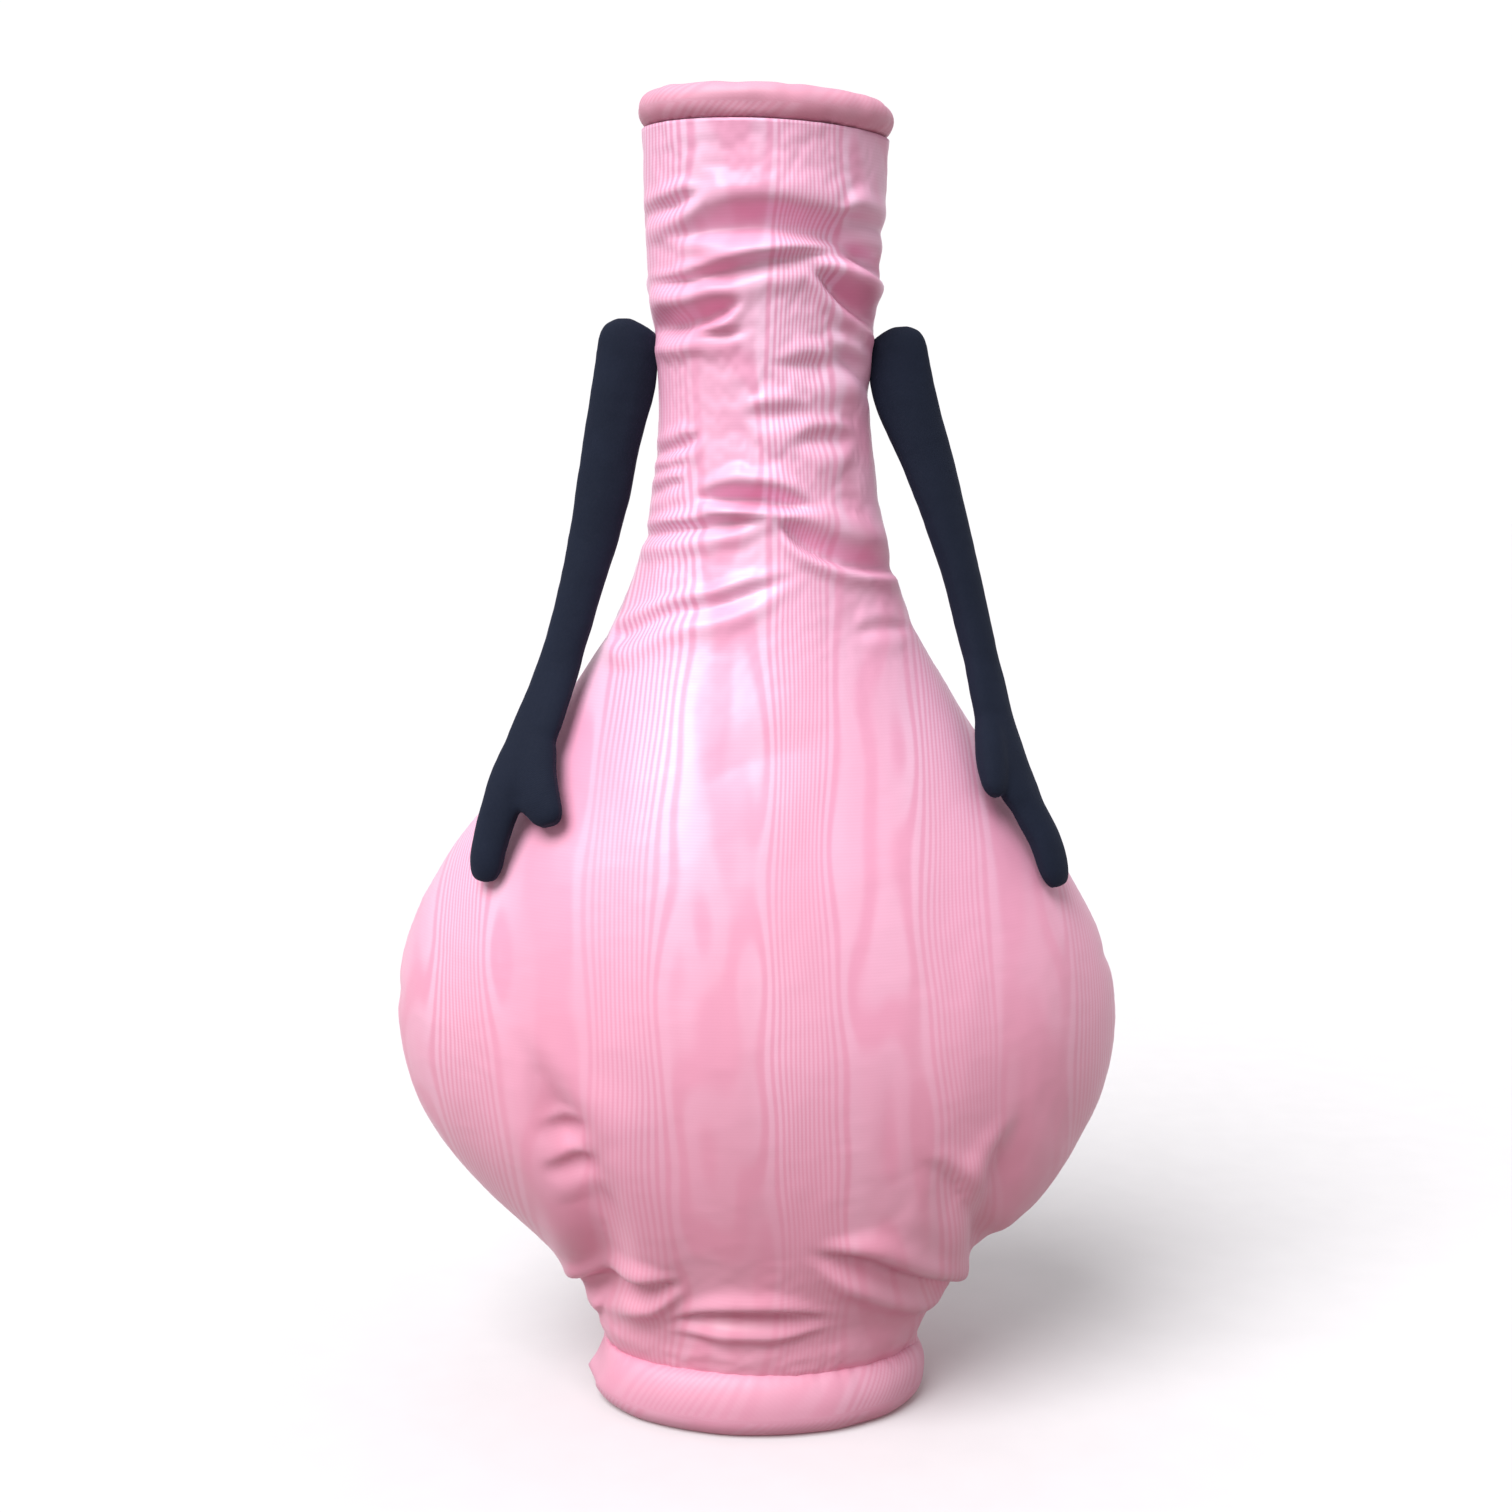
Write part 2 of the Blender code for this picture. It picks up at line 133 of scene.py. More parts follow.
def body_grid(rows, columns, inset=0.0, side=-1):
    """Points of a panel (mm), as rows of columns, and each point's angle across it."""
    heights = np.linspace(BODY_BOTTOM, BODY_TOP, rows + 1)
    angles = np.linspace(-math.pi / 2, math.pi / 2, columns + 1)
    z, angle = np.meshgrid(heights, angles, indexing="ij")
    across = (smooth_values(BODY_STATIONS, z) - inset) * np.sin(angle)
    depth = ((smooth_values(BODY_STATIONS, z, 2) - inset)
             * np.maximum(np.cos(angle), 0) ** LENS_POWER)
    tilt = MOUTH_TILT * np.clip((z - TILT_START) / (BODY_TOP - TILT_START), 0, None)
    points = np.stack([smooth_values(LEAN_STATIONS, z) + across, side * (SEAM_GAP + depth),
                       z + tilt * across], axis=-1)
    return points, angle


def keep_to_side(points, side, gap=SEAM_GAP):
    """Stops a panel's points short of the plane through the side seams."""
    points[..., 1] = side * np.maximum(side * points[..., 1], gap)


def grid_normals(points, side):
    """Outward unit normals of a panel's grid."""
    up = np.gradient(points, axis=0)
    across = np.gradient(points, axis=1)
    normal = np.cross(across, up) * (-side)
    return normal / np.linalg.norm(normal, axis=-1, keepdims=True)


# ---- folds of the panels

# Each fold: its valley line from left to right (x, z in mm), the width of the slope above it
# and below it, its depth, the height of the crests beside it, and how open its two ends are.
FRONT_FOLDS = (
    (((-34, 537), (-11, 539), (10, 539), (33, 535), (45, 530), (55, 525)),
     10.5, 5, 6.4, 1.7, 0.1, 0.35),
    (((-52, 519), (-34, 517), (-17, 520), (8, 525.5), (30, 528), (54, 527)),
     3.6, 5, 2.2, 1.3, 0.1, 0.4),
    (((-46, 497.5), (-30, 499), (-16, 504), (-3, 509.5)), 8.5, 3.6, 5.2, 1.5, 0.5, 0),
    (((-45, 493), (-24, 494), (2, 497)), 2.6, 3.2, 1.5, 0.6, 0.5, 0),
    (((21, 523), (32, 516), (42, 508), (54, 500.5)), 8, 3.6, 5, 1.6, 0, 0.5),
    (((34, 544.5), (46, 543), (59, 540.5)), 6, 4.5, 2.8, 1, 0, 0.5),
    (((-50, 548), (-36, 550), (-20, 555.5)), 4, 4, 1.7, 0.9, 0.5, 0),
    (((28, 492), (40, 484), (53, 471)), 5, 4, 1.8, 0.9, 0, 0.4),
    (((5, 481.5), (25, 481), (50, 483)), 5, 6, 1.2, 0.9, 0, 0.1),
    (((-8, 459.5), (8, 460), (26, 462)), 4.5, 5.5, 1.2, 0.9, 0, 0),
    (((14, 448), (30, 449.5), (48, 450)), 4.5, 5.5, 1.3, 0.9, 0, 0),
    (((-46, 443), (-34, 446), (-22, 453)), 4, 3.2, 1.8, 0.8, 0.5, 0),
    (((-46, 435), (-27, 440)), 3, 3, 1.3, 0.6, 0.5, 0),
    (((-47, 426), (-29, 433)), 3.2, 3, 1.3, 0.6, 0.5, 0),
    (((-31, 424), (-10, 423.5), (8, 422), (29, 418)), 6, 3.6, 5.4, 2, 0, 0),
    (((-50, 407.5), (-27, 411), (-5, 414), (14, 414.2)), 3.2, 3.6, 2, 1.3, 0.5, 0),
    (((9, 414), (22, 403.5), (41, 396), (66, 392)), 9, 3, 5.2, 1.7, 0.1, 0.5),
    (((-60, 363), (-38, 373.5), (-17, 378), (6, 386.5), (24, 392)), 3.6, 4.4, 1.3, 1.3, 0.4, 0),
    (((43, 365.5), (56, 367), (68, 366)), 3.6, 3.6, 0.8, 0.3, 0.1, 0.2),
    (((-104, 196), (-98, 182), (-91, 162), (-81, 136), (-71, 104), (-71, 62)),
     17, 9, 5, 1.4, 0, 0.3),
    (((-96, 152), (-84, 150), (-74, 158)), 5.5, 5.5, 2.4, 1, 0, 0),
    (((-92, 133), (-79, 133), (-70, 141)), 5.5, 5.5, 2.2, 0.9, 0, 0),
    (((103, 72), (106, 98), (109, 126), (118, 160)), 9, 15, 3.6, 1.2, 0.2, 0),
    (((68, 142), (84, 128), (98, 104), (112, 66)), 8, 12, 2.6, 0.8, 0, 0.5),
    (((-78, 60), (-52, 70.5), (-30, 79)), 6.5, 5, 3.8, 2.2, 0.4, 0),
    (((22, 97), (50, 84), (66, 73), (84, 61)), 8.5, 5.5, 4.2, 2.4, 0, 0.5),
    (((-46, 52), (-27, 57.5), (-8, 60), (16, 59.5), (40, 57)), 5.5, 4.2, 3.8, 2.2, 0, 0),
    (((-28, 300), (0, 312), (34, 318)), 14, 14, 0.6, 0.3, 0, 0),
)

# Height of a notch in the side seam, its depth and its width (mm), left (-1) and right (1).
SEAM_NOTCHES = {
    -1: ((546, 0.8, 4), (498, 1.0, 5), (443, 0.8, 3), (434, 0.6, 2.5), (407, 1.2, 4), (364, 1.0, 5),
         (196, 1.4, 6), (58, 1.8, 8)),
    1: ((543, 1.6, 5), (530, 1.0, 4), (502, 1.0, 5), (470, 0.8, 5), (424, 0.8, 5), (393, 1.6, 4),
        (367, 0.8, 5), (214, 1.4, 6), (64, 3.0, 6)),
}

SHARP_SHARE = 0.85  # of the folds' depth, creased into the relaxed cloth
FOLD_LIMIT = 9.5  # mm, the depth that crossing folds come close to but don't pass
BELLY_SLACK = 0.25  # share of the buckling that the tight belly keeps
SEAM_HOLD = 0.9  # share of the neck's buckling that the side seams hold flat
BACK_SHARE = 0.8  # depth of the back's folds against the front's
BACK_SHIFT = 9.0  # mm, the most that a fold of the back is moved up or down
SWELL_LENGTH = 0.4  # share of a fold's length over which it opens from its end

# The panels at the two rolls: height (mm) and spread (mm) of each band.
FOOT_TUCK = 2.2  # mm, how far the panels turn in above the foot's roll
FOOT_TUCK_AT = (25.0, 3.5)
FOOT_BULGE = 1.8  # mm, how far they swell above that
FOOT_BULGE_AT = (38.0, 7.0)
FOOT_GATHER = 0.4  # mm, height of the puckers along the foot's seam
FOOT_GATHER_AT = (28.0, 8.0)
MOUTH_GATHER = 0.5  # mm, height of the puckers along the mouth's seam
MOUTH_GATHER_AT = (BODY_TOP, 9.0)
END_SHARE = 0.15  # share of the folds that is left right at the rolls
END_FADE = 9.0  # mm, over which the folds reach their full depth

# Unevenness of the padding: size of its features across, in depth and up (mm), and its height (mm).
CREASES = ((46, 60, 10), 0.5)
FINE_CREASES = ((15, 20, 5.5), 0.12)
SWELLS = ((30, 80, 120), 1.4)
DENTS = ((20, 30, 60), 0.15)
GATHER_SIZE = (4.2, 6.0, 26.0)
LINING_RIPPLE = ((22, 22, 16), 0.3)

CLOTH_ROWS = 176
CLOTH_COLUMNS = 72
CLOTH_FRAMES = 20
CLOTH_REACH = 7.0  # mm, the most that the cloth may move from its start
CLOTH_SETTINGS = dict(quality=6, mass=0.2, tension_stiffness=15, compression_stiffness=15,
                      shear_stiffness=8, bending_stiffness=0.35, tension_damping=8,
                      bending_damping=2, air_damping=3, pin_stiffness=1, use_pressure=True,
                      uniform_pressure_force=4.0)
NECK_EXCESS = 0.05  # how much too tall the cloth is cut, as a share of its height
FOOT_EXCESS = 0.06


def between(a, b, c, d, t):
    """The Catmull-Rom curve from b to c, at share t of the way."""
    return 0.5 * (2 * b + (c - a) * t + (2 * a - 5 * b + 4 * c - d) * t ** 2
                  + (3 * b - a - 3 * c + d) * t ** 3)


def spline_points(corners, steps=8):
    """Points on a Catmull-Rom curve through the corners."""
    ends = [2 * np.array(corners[0]) - np.array(corners[1])]
    tail = [2 * np.array(corners[-1]) - np.array(corners[-2])]
    run = ends + [np.array(corner, float) for corner in corners] + tail
    made = []
    for a, b, c, d in zip(run, run[1:], run[2:], run[3:]):
        for t in np.linspace(0, 1, steps, endpoint=False):
            made.append(between(a, b, c, d, t))
    made.append(run[-2])
    return np.array(made)


def fold_depth(x, z, fold):
    """Movement along the normal (mm, outwards) that one fold gives at each point."""
    corners, above, below, depth, crest, open_start, open_end = fold
    line = spline_points(corners)
    reach = 3.2 * max(above, below)
    low = line.min(axis=0) - reach
    high = line.max(axis=0) + reach
    near = (x > low[0]) & (x < high[0]) & (z > low[1]) & (z < high[1])
    moved = np.zeros_like(x)
    if not near.any():
        return moved
    point = np.stack([x[near], z[near]], axis=-1)
    best = np.full(len(point), 1e9)
    signed = np.zeros(len(point))
    share = np.zeros(len(point))
    lengths = np.linalg.norm(np.diff(line, axis=0), axis=1)
    starts = np.concatenate([[0], np.cumsum(lengths)])
    for index, length in enumerate(lengths):
        a = line[index]
        direction = (line[index + 1] - a) / length
        along = np.clip((point - a) @ direction, 0, length)
        offset = point - (a + along[:, None] * direction)
        distance = np.linalg.norm(offset, axis=1)
        closer = distance < best
        side = np.sign(direction[0] * (point - a)[:, 1] - direction[1] * (point - a)[:, 0])
        best = np.where(closer, distance, best)
        signed = np.where(closer, side * distance, signed)
        share = np.where(closer, (starts[index] + along) / starts[-1], share)
    swell = smoothstep(0, SWELL_LENGTH, np.minimum(share + open_start, 1 - share + open_end))
    widening = 0.45 + 0.55 * swell
    up, down = above * widening, below * widening
    rise = np.clip(best / np.where(signed > 0, 1.25 * up, 1.6 * down), 0, 1)
    wall = np.where(signed > 0, rise ** 1.5 * (2.5 - 1.5 * rise), np.sin(rise * math.pi / 2))
    valley = depth * (wall - 1)
    ridge_up = crest * np.exp(-((signed - 1.5 * up) / (0.8 * up)) ** 2)
    ridge_down = crest * np.exp(-((signed + 1.9 * down) / (1.1 * down)) ** 2)
    moved[near] = swell * (valley + ridge_up + ridge_down)
    return moved


def noise_at(x, y, z):
    """Smooth noise from -1 to 1 at each place of three arrays."""
    x, y, z = np.broadcast_arrays(x, y, z)
    values = [noise.noise(Vector(place)) for place in zip(x.ravel(), y.ravel(), z.ravel())]
    return np.array(values).reshape(x.shape)


def noise_field(points, scale, offset):
    """Smooth noise from -1 to 1 at each point; scale is the size of its features (mm)."""
    return noise_at(*[points[..., i] / scale[i] + offset[i] for i in range(3)])


def back_folds():
    """The back isn't the front's copy: the same kinds of fold, mirrored and shifted."""
    made = []
    for number, (corners, above, below, depth, crest, start, end) in enumerate(FRONT_FOLDS):
        shift = BACK_SHIFT * math.sin(2.4 * number)
        mirrored = tuple((-x, z + shift) for x, z in reversed(corners))
        made.append((mirrored, above, below, BACK_SHARE * depth, crest, end, start))
    return tuple(made)


def band(z, place, spread):
    """A bell over the height, 1 at its place."""
    return np.exp(-((z - place) / spread) ** 2)


def seam_pull(z, side_of_x):
    """How far the side seams are pulled in (mm) along their height."""
    heights = z[:, 0]
    wave = noise_at(side_of_x * 7.3, heights / 13.0, 2.2)
    small = noise_at(side_of_x * 3.1, heights / 4.5, 8.8)
    pull = -0.5 + 0.35 * wave + 0.2 * small
    for height, depth, width in SEAM_NOTCHES[side_of_x]:
        pull = pull - depth * band(heights, height, width)
    return pull[:, None]


def fold_relief(points, side):
    """Movement of a panel's surface (mm, outwards) by its folds."""
    x, z = points[..., 0], points[..., 2]
    return sum(fold_depth(x, z, fold) for fold in (FRONT_FOLDS if side < 0 else back_folds()))


def broad_relief(points, side):
    """Soft unevenness of the padding (mm, outwards), with small creases at the neck and the foot."""
    z = points[..., 2]
    neck = smoothstep(330, 400, z)
    foot = 1 - smoothstep(60, 110, z)

    def uneven(kind, offset):
        size, height = kind
        return height * noise_field(points, size, offset)

    small = uneven(CREASES, (3.1, side * 4.7, 1.3)) + uneven(FINE_CREASES, (9.4, side * 2.2, 5.1))
    large = uneven(SWELLS, (1.7, side * 3.9, 7.7)) + uneven(DENTS, (6.2, side * 1.4, 2.9))
    return small * np.clip(neck + 0.6 * foot, 0, 1) + large * (1 - neck)


def simulate_panel(start, rest, side):
    """Lets a panel's cloth buckle: it is cut to the rest shape and sewn at its four edges."""
    index = number_grid(start)
    quads = grid_quads(index)
    if side > 0:
        quads = quads[:, ::-1]
    sheet = new_object("cloth_to_relax", start.reshape(-1, 3) * MM, quads)
    sheet.shape_key_add(name="Basis")
    cut = sheet.shape_key_add(name="cut")
    cut.data.foreach_set("co", (rest.reshape(-1, 3) * MM).ravel())
    sewn = sheet.vertex_groups.new(name="sewn")
    edge = np.unique(np.concatenate([index[0], index[-1], index[:, 0], index[:, -1]]))
    sewn.add([int(i) for i in edge], 1.0, "REPLACE")
    cloth = sheet.modifiers.new("cloth", "CLOTH")
    for key, value in CLOTH_SETTINGS.items():
        setattr(cloth.settings, key, value)
    cloth.settings.vertex_group_mass = "sewn"
    cloth.settings.rest_shape_key = cut
    cloth.settings.effector_weights.gravity = 0
    cloth.collision_settings.use_collision = False
    cloth.point_cache.frame_start = 1
    cloth.point_cache.frame_end = CLOTH_FRAMES
    scene = bpy.context.scene
    for number in range(1, CLOTH_FRAMES + 1):
        scene.frame_set(number)
    graph = bpy.context.evaluated_depsgraph_get()
    relaxed = read_vectors(sheet.evaluated_get(graph).data.vertices, "co").reshape(start.shape) / MM
    mesh = sheet.data
    bpy.data.objects.remove(sheet)
    bpy.data.meshes.remove(mesh)
    scene.frame_set(1)
    shift = relaxed - start
    length = np.linalg.norm(shift, axis=-1, keepdims=True)
    return start + shift * np.minimum(1, CLOTH_REACH / np.maximum(length, 1e-6))


def resample(grid, rows, columns):
    """A grid read at more rows and columns, with smooth curves between its points."""
    def along(values, count):
        old_count = values.shape[0] - 1
        at = np.linspace(0, old_count, count + 1)
        i = np.clip(np.floor(at).astype(int), 0, old_count - 1)
        t = (at - i)[:, None, None]
        before, after = np.maximum(i - 1, 0), np.minimum(i + 2, old_count)
        return between(values[before], values[i], values[i + 1], values[after], t)
    tall = along(grid, rows)
    return along(tall.transpose(1, 0, 2), columns).transpose(1, 0, 2)


def cut_grid(points):
    """The panel as it was cut: taller than the space it is sewn into at the neck and the foot."""
    z = points[..., 2]
    heights = z[:, 0]
    extra = NECK_EXCESS * smoothstep(335, 410, heights) + FOOT_EXCESS * (1 - smoothstep(60, 120, heights))
    steps = np.diff(heights) * (1 + 0.5 * (extra[1:] + extra[:-1]))
    tall = np.concatenate([[0], np.cumsum(steps)])
    cut = points.copy()
    cut[..., 2] = tall[:, None] + (z - heights[:, None])
    return cut


def displaced_grid(side):
    """The outer surface of the front (-1) or back (1) cover, folds included (mm)."""
    coarse = body_grid(CLOTH_ROWS, CLOTH_COLUMNS, side=side)[0]
    relief = fold_relief(coarse, side) + broad_relief(coarse, side)
    edge = np.linspace(-1, 1, CLOTH_COLUMNS + 1)[None, :]
    relief = relief * (1 - smoothstep(0.62, 0.98, np.abs(edge)))
    relief = relief * end_fade(coarse[..., 2])
    start = coarse + grid_normals(coarse, side) * relief[..., None]
    keep_to_side(start, side)
    height = coarse[..., 2]
    relaxed = simulate_panel(start, cut_grid(coarse), side)
    loose = smoothstep(330, 390, height) + 1 - smoothstep(60, 110, height)
    start = start + (relaxed - start) * (BELLY_SLACK + (1 - BELLY_SLACK) * loose)[..., None]
    held = smoothstep(0.5, 0.92, np.abs(edge)) * smoothstep(330, 400, height)
    start = start + (coarse - start) * SEAM_HOLD * held[..., None]
    points = resample(start, ROWS, COLUMNS)
    plain, angle = body_grid(ROWS, COLUMNS, side=side)
    normals = grid_normals(plain, side)
    z = plain[..., 2]
    seam = smoothstep(0.78, 1.0, np.abs(angle) / (math.pi / 2))
    pulled = np.where(angle < 0, seam_pull(z, -1), seam_pull(z, 1))
    moved = SHARP_SHARE * fold_relief(plain, side) * (1 - seam) + pulled * seam
    tuck = FOOT_BULGE * band(z, *FOOT_BULGE_AT) - FOOT_TUCK * band(z, *FOOT_TUCK_AT)
    gathers = noise_field(plain, GATHER_SIZE, (0.7, side * 2.6, 4.4))
    tuck += gathers * (MOUTH_GATHER * band(z, *MOUTH_GATHER_AT) + FOOT_GATHER * band(z, *FOOT_GATHER_AT))
    moved_points = points + normals * (moved * end_fade(z) + tuck * (1 - seam))[..., None]
    sunk = -np.sum((moved_points - plain) * normals, axis=-1)
    excess = sunk - FOLD_LIMIT * np.tanh(np.maximum(sunk, 0) / FOLD_LIMIT)
    moved_points = moved_points + normals * np.where(sunk > 0, excess, 0)[..., None]
    flat_seam = np.abs(angle) > math.pi / 2 - 1e-6
    moved_points[..., 1] = np.where(flat_seam, plain[..., 1], moved_points[..., 1])
    keep_to_side(moved_points, side)
    return moved_points


def end_fade(z):
    """1 over most of the panel, less where it is sewn to the rolls."""
    risen = smoothstep(0, END_FADE, z - BODY_BOTTOM) * smoothstep(0, END_FADE, BODY_TOP - z)
    return END_SHARE + (1 - END_SHARE) * risen


def deepest_around(inset, reach):
    """The largest inset within a few points of each grid point."""
    padded = np.pad(inset, reach, mode="edge")
    rows, columns = inset.shape
    return np.max([padded[a:a + rows, b:b + columns] for a in range(2 * reach + 1)
                   for b in range(2 * reach + 1)], axis=0)


# ---- mesh helpers

def number_grid(grid):
    """The number of each point of a grid, in its rows and columns."""
    return np.arange(grid.shape[0] * grid.shape[1]).reshape(grid.shape[:2])


def grid_quads(index):
    """The quads between neighbouring rows and columns of point numbers."""
    return np.stack([index[:-1, :-1], index[:-1, 1:], index[1:, 1:], index[1:, :-1]], -1).reshape(-1, 4)


def new_object(name, vertices, faces):
    mesh = bpy.data.meshes.new(name)
    mesh.from_pydata([tuple(v) for v in vertices], [], [tuple(int(i) for i in face) for face in faces])
    mesh.update()
    made = bpy.data.objects.new(name, mesh)
    bpy.context.scene.collection.objects.link(made)
    return made


def fix_faces(piece):
    """Turns all faces outwards and shades them smooth."""
    shape = bmesh.new()
    shape.from_mesh(piece.data)
    bmesh.ops.recalc_face_normals(shape, faces=shape.faces)
    if shape.calc_volume(signed=True) < 0:
        bmesh.ops.reverse_faces(shape, faces=shape.faces)
    shape.to_mesh(piece.data)
    shape.free()
    piece.data.shade_smooth()


def store_vectors(piece, name, vectors):
    attribute = piece.data.attributes.new(name, "FLOAT_VECTOR", "POINT")
    attribute.data.foreach_set("vector", np.asarray(vectors, np.float32).ravel())


def shell_between(name, outer, inner):
    """A closed shell from two grids of the same size (mm)."""
    vertices = np.concatenate([outer.reshape(-1, 3), inner.reshape(-1, 3)]) * MM
    index = number_grid(outer)
    other = index + index.size
    quads = [grid_quads(index), grid_quads(other)]
    for line, twin in ((index[0], other[0]), (index[-1], other[-1]), (index[:, 0], other[:, 0]),
                       (index[:, -1], other[:, -1])):
        quads.append(np.stack([line[:-1], line[1:], twin[1:], twin[:-1]], -1))
    piece = new_object(name, vertices, np.concatenate(quads))
    fix_faces(piece)
    return piece


def cloth_coordinates(points):
    """Place on the flat cloth (m): across from the middle, then up."""
    steps = np.linalg.norm(np.diff(points[..., :2], axis=1), axis=-1)
    run = np.concatenate([np.zeros((points.shape[0], 1)), np.cumsum(steps, axis=1)], axis=1)
    middle = run[:, run.shape[1] // 2][:, None]
    lean = smooth_values(LEAN_STATIONS, points[..., 2])
    across = 0.45 * (run - middle) + 0.55 * (points[..., 0] - lean)
    return np.stack([across, points[..., 2], np.zeros_like(across)], axis=-1) * MM


# ---- materials

class Nodes:
    """Short calls for building the node tree of a material or a world."""

    def __init__(self, owner):
        owner.use_nodes = True
        self.owner = owner
        self.tree = owner.node_tree

    def add(self, kind, output, inputs, **settings):
        """Makes a node, feeds its inputs and gives its output, or all of them for None."""
        node = self.tree.nodes.new(kind)
        for key, value in settings.items():
            setattr(node, key, value)
        for key, value in inputs.items():
            self.feed(node.inputs[key], value)
        return node.outputs if output is None else node.outputs[output]

    def feed(self, socket, value):
        if isinstance(value, bpy.types.NodeSocket):
            self.tree.links.new(value, socket)
        else:
            socket.default_value = value

    def math(self, operation, a, b=0.0, c=0.0):
        return self.add("ShaderNodeMath", 0, {0: a, 1: b, 2: c}, operation=operation)

    def noise(self, vector, scale, detail=2.0, roughness=0.5):
        return self.add("ShaderNodeTexNoise", "Fac", {"Vector": vector, "Scale": scale,
                                                      "Detail": detail, "Roughness": roughness})

    def stretch(self, vector, scale, location=(0, 0, 0), turn=0.0):
        return self.add("ShaderNodeMapping", "Vector", {"Vector": vector, "Scale": scale,
                                                        "Location": location, "Rotation": (0, 0, turn)})

    def attribute(self, name):
        return self.add("ShaderNodeAttribute", "Vector", {}, attribute_name=name)

    def position(self):
        return self.add("ShaderNodeTexCoord", "Object", {})

    def parts(self, vector):
        return self.add("ShaderNodeSeparateXYZ", None, {0: vector})

    def step(self, value, low, high, start=0.0, end=1.0):
        """Goes smoothly from start to end while the value goes from low to high."""
        ends = {"From Min": low, "From Max": high, "To Min": start, "To Max": end}
        return self.add("ShaderNodeMapRange", "Result", {"Value": value, **ends},
                        interpolation_type="SMOOTHSTEP")

    def mix(self, factor, a, b):
        return self.add("ShaderNodeMix", "Result", {"Factor": factor, "A": a, "B": b}, data_type="RGBA")

    def signed_noise(self, vector, scale, detail=1.0):
        """Noise about 0, stretched by scale."""
        return self.math("SUBTRACT", self.noise(self.stretch(vector, scale), 1.0, detail), 0.5)

    def waves(self, place, pitch):
        """A sine that repeats after each pitch."""
        return self.math("SINE", self.math("MULTIPLY", place, 2 * math.pi / pitch))

    def surface(self, base, roughness, normal=None, **constants):
        """Feeds the shader; the constants are its other inputs, named with low lines for spaces."""
        inputs = self.tree.nodes["Principled BSDF"].inputs
        self.feed(inputs["Base Color"], base)
        self.feed(inputs["Roughness"], roughness)
        if normal is not None:
            self.feed(inputs["Normal"], normal)
        for name, value in constants.items():
            inputs[name.replace("_", " ")].default_value = value
        return self.owner

    def bump(self, height, distance, strength, below=None):
        """A normal bumped by the height, on top of another one if that is given."""
        inputs = {"Distance": distance, "Strength": strength, "Height": height}
        if below is not None:
            inputs["Normal"] = below
        return self.add("ShaderNodeBump", "Normal", inputs)


def colour(red, green, blue):
    """A display colour, 0 to 255, as the linear colour that a shader takes."""
    def linear(value):
        share = value / 255
        return share / 12.92 if share <= 0.04045 else ((share + 0.055) / 1.055) ** 2.4
    return (linear(red), linear(green), linear(blue), 1)


DARK_PINK = colour(237, 168, 200)
LIGHT_PINK = colour(252, 213, 238)
CLOUD_PINK = colour(240, 174, 200)
RIB_PINK = colour(216, 136, 166)
DULL_PINK = colour(218, 150, 167)
# painted shade: the darker, warmer rose laid over the lower body
LOW_SHADE_PINK = colour(228, 150, 168)
CLOTH_SHEEN = colour(255, 225, 245)

LINES_EACH_SIDE = 7.5  # watermark lines from a plain column to midway between two columns
COLUMN_PERIOD = 0.142  # m, from one plain column to the next of its kind
RIB_PITCH = 0.0013  # m, ribs of the weave
RIB_BUMP = 0.00003  # m
MARK_BUMP = 0.00006  # m
PLATEAU_EDGE = 0.92  # where a plain column begins, as a share of the sine's height
WANDER = 0.05  # m, how far the columns stray sideways
WOOD_GRAIN = 4.2  # lines by which the watermark is pushed about, as in wood
LINE_JITTER = 0.06  # lines, from one rib to the next
PLAIN_FADE = -0.35  # change of the watermark's strength in a plain column
UPPER_GAIN = 0.1  # more of it above the belly than below
UPPER_RISE = (0.26, 0.42)  # m, over which that sets in
LOW_SHADE_RISE = (0.44, 0.06)  # m, the heights between which painted shade turns the cloth a darker, warmer rose, downwards
LOW_SHADE_SHARE = 0.6
CLOUD_SHARE = 0.4
RIB_SHARE = 0.08


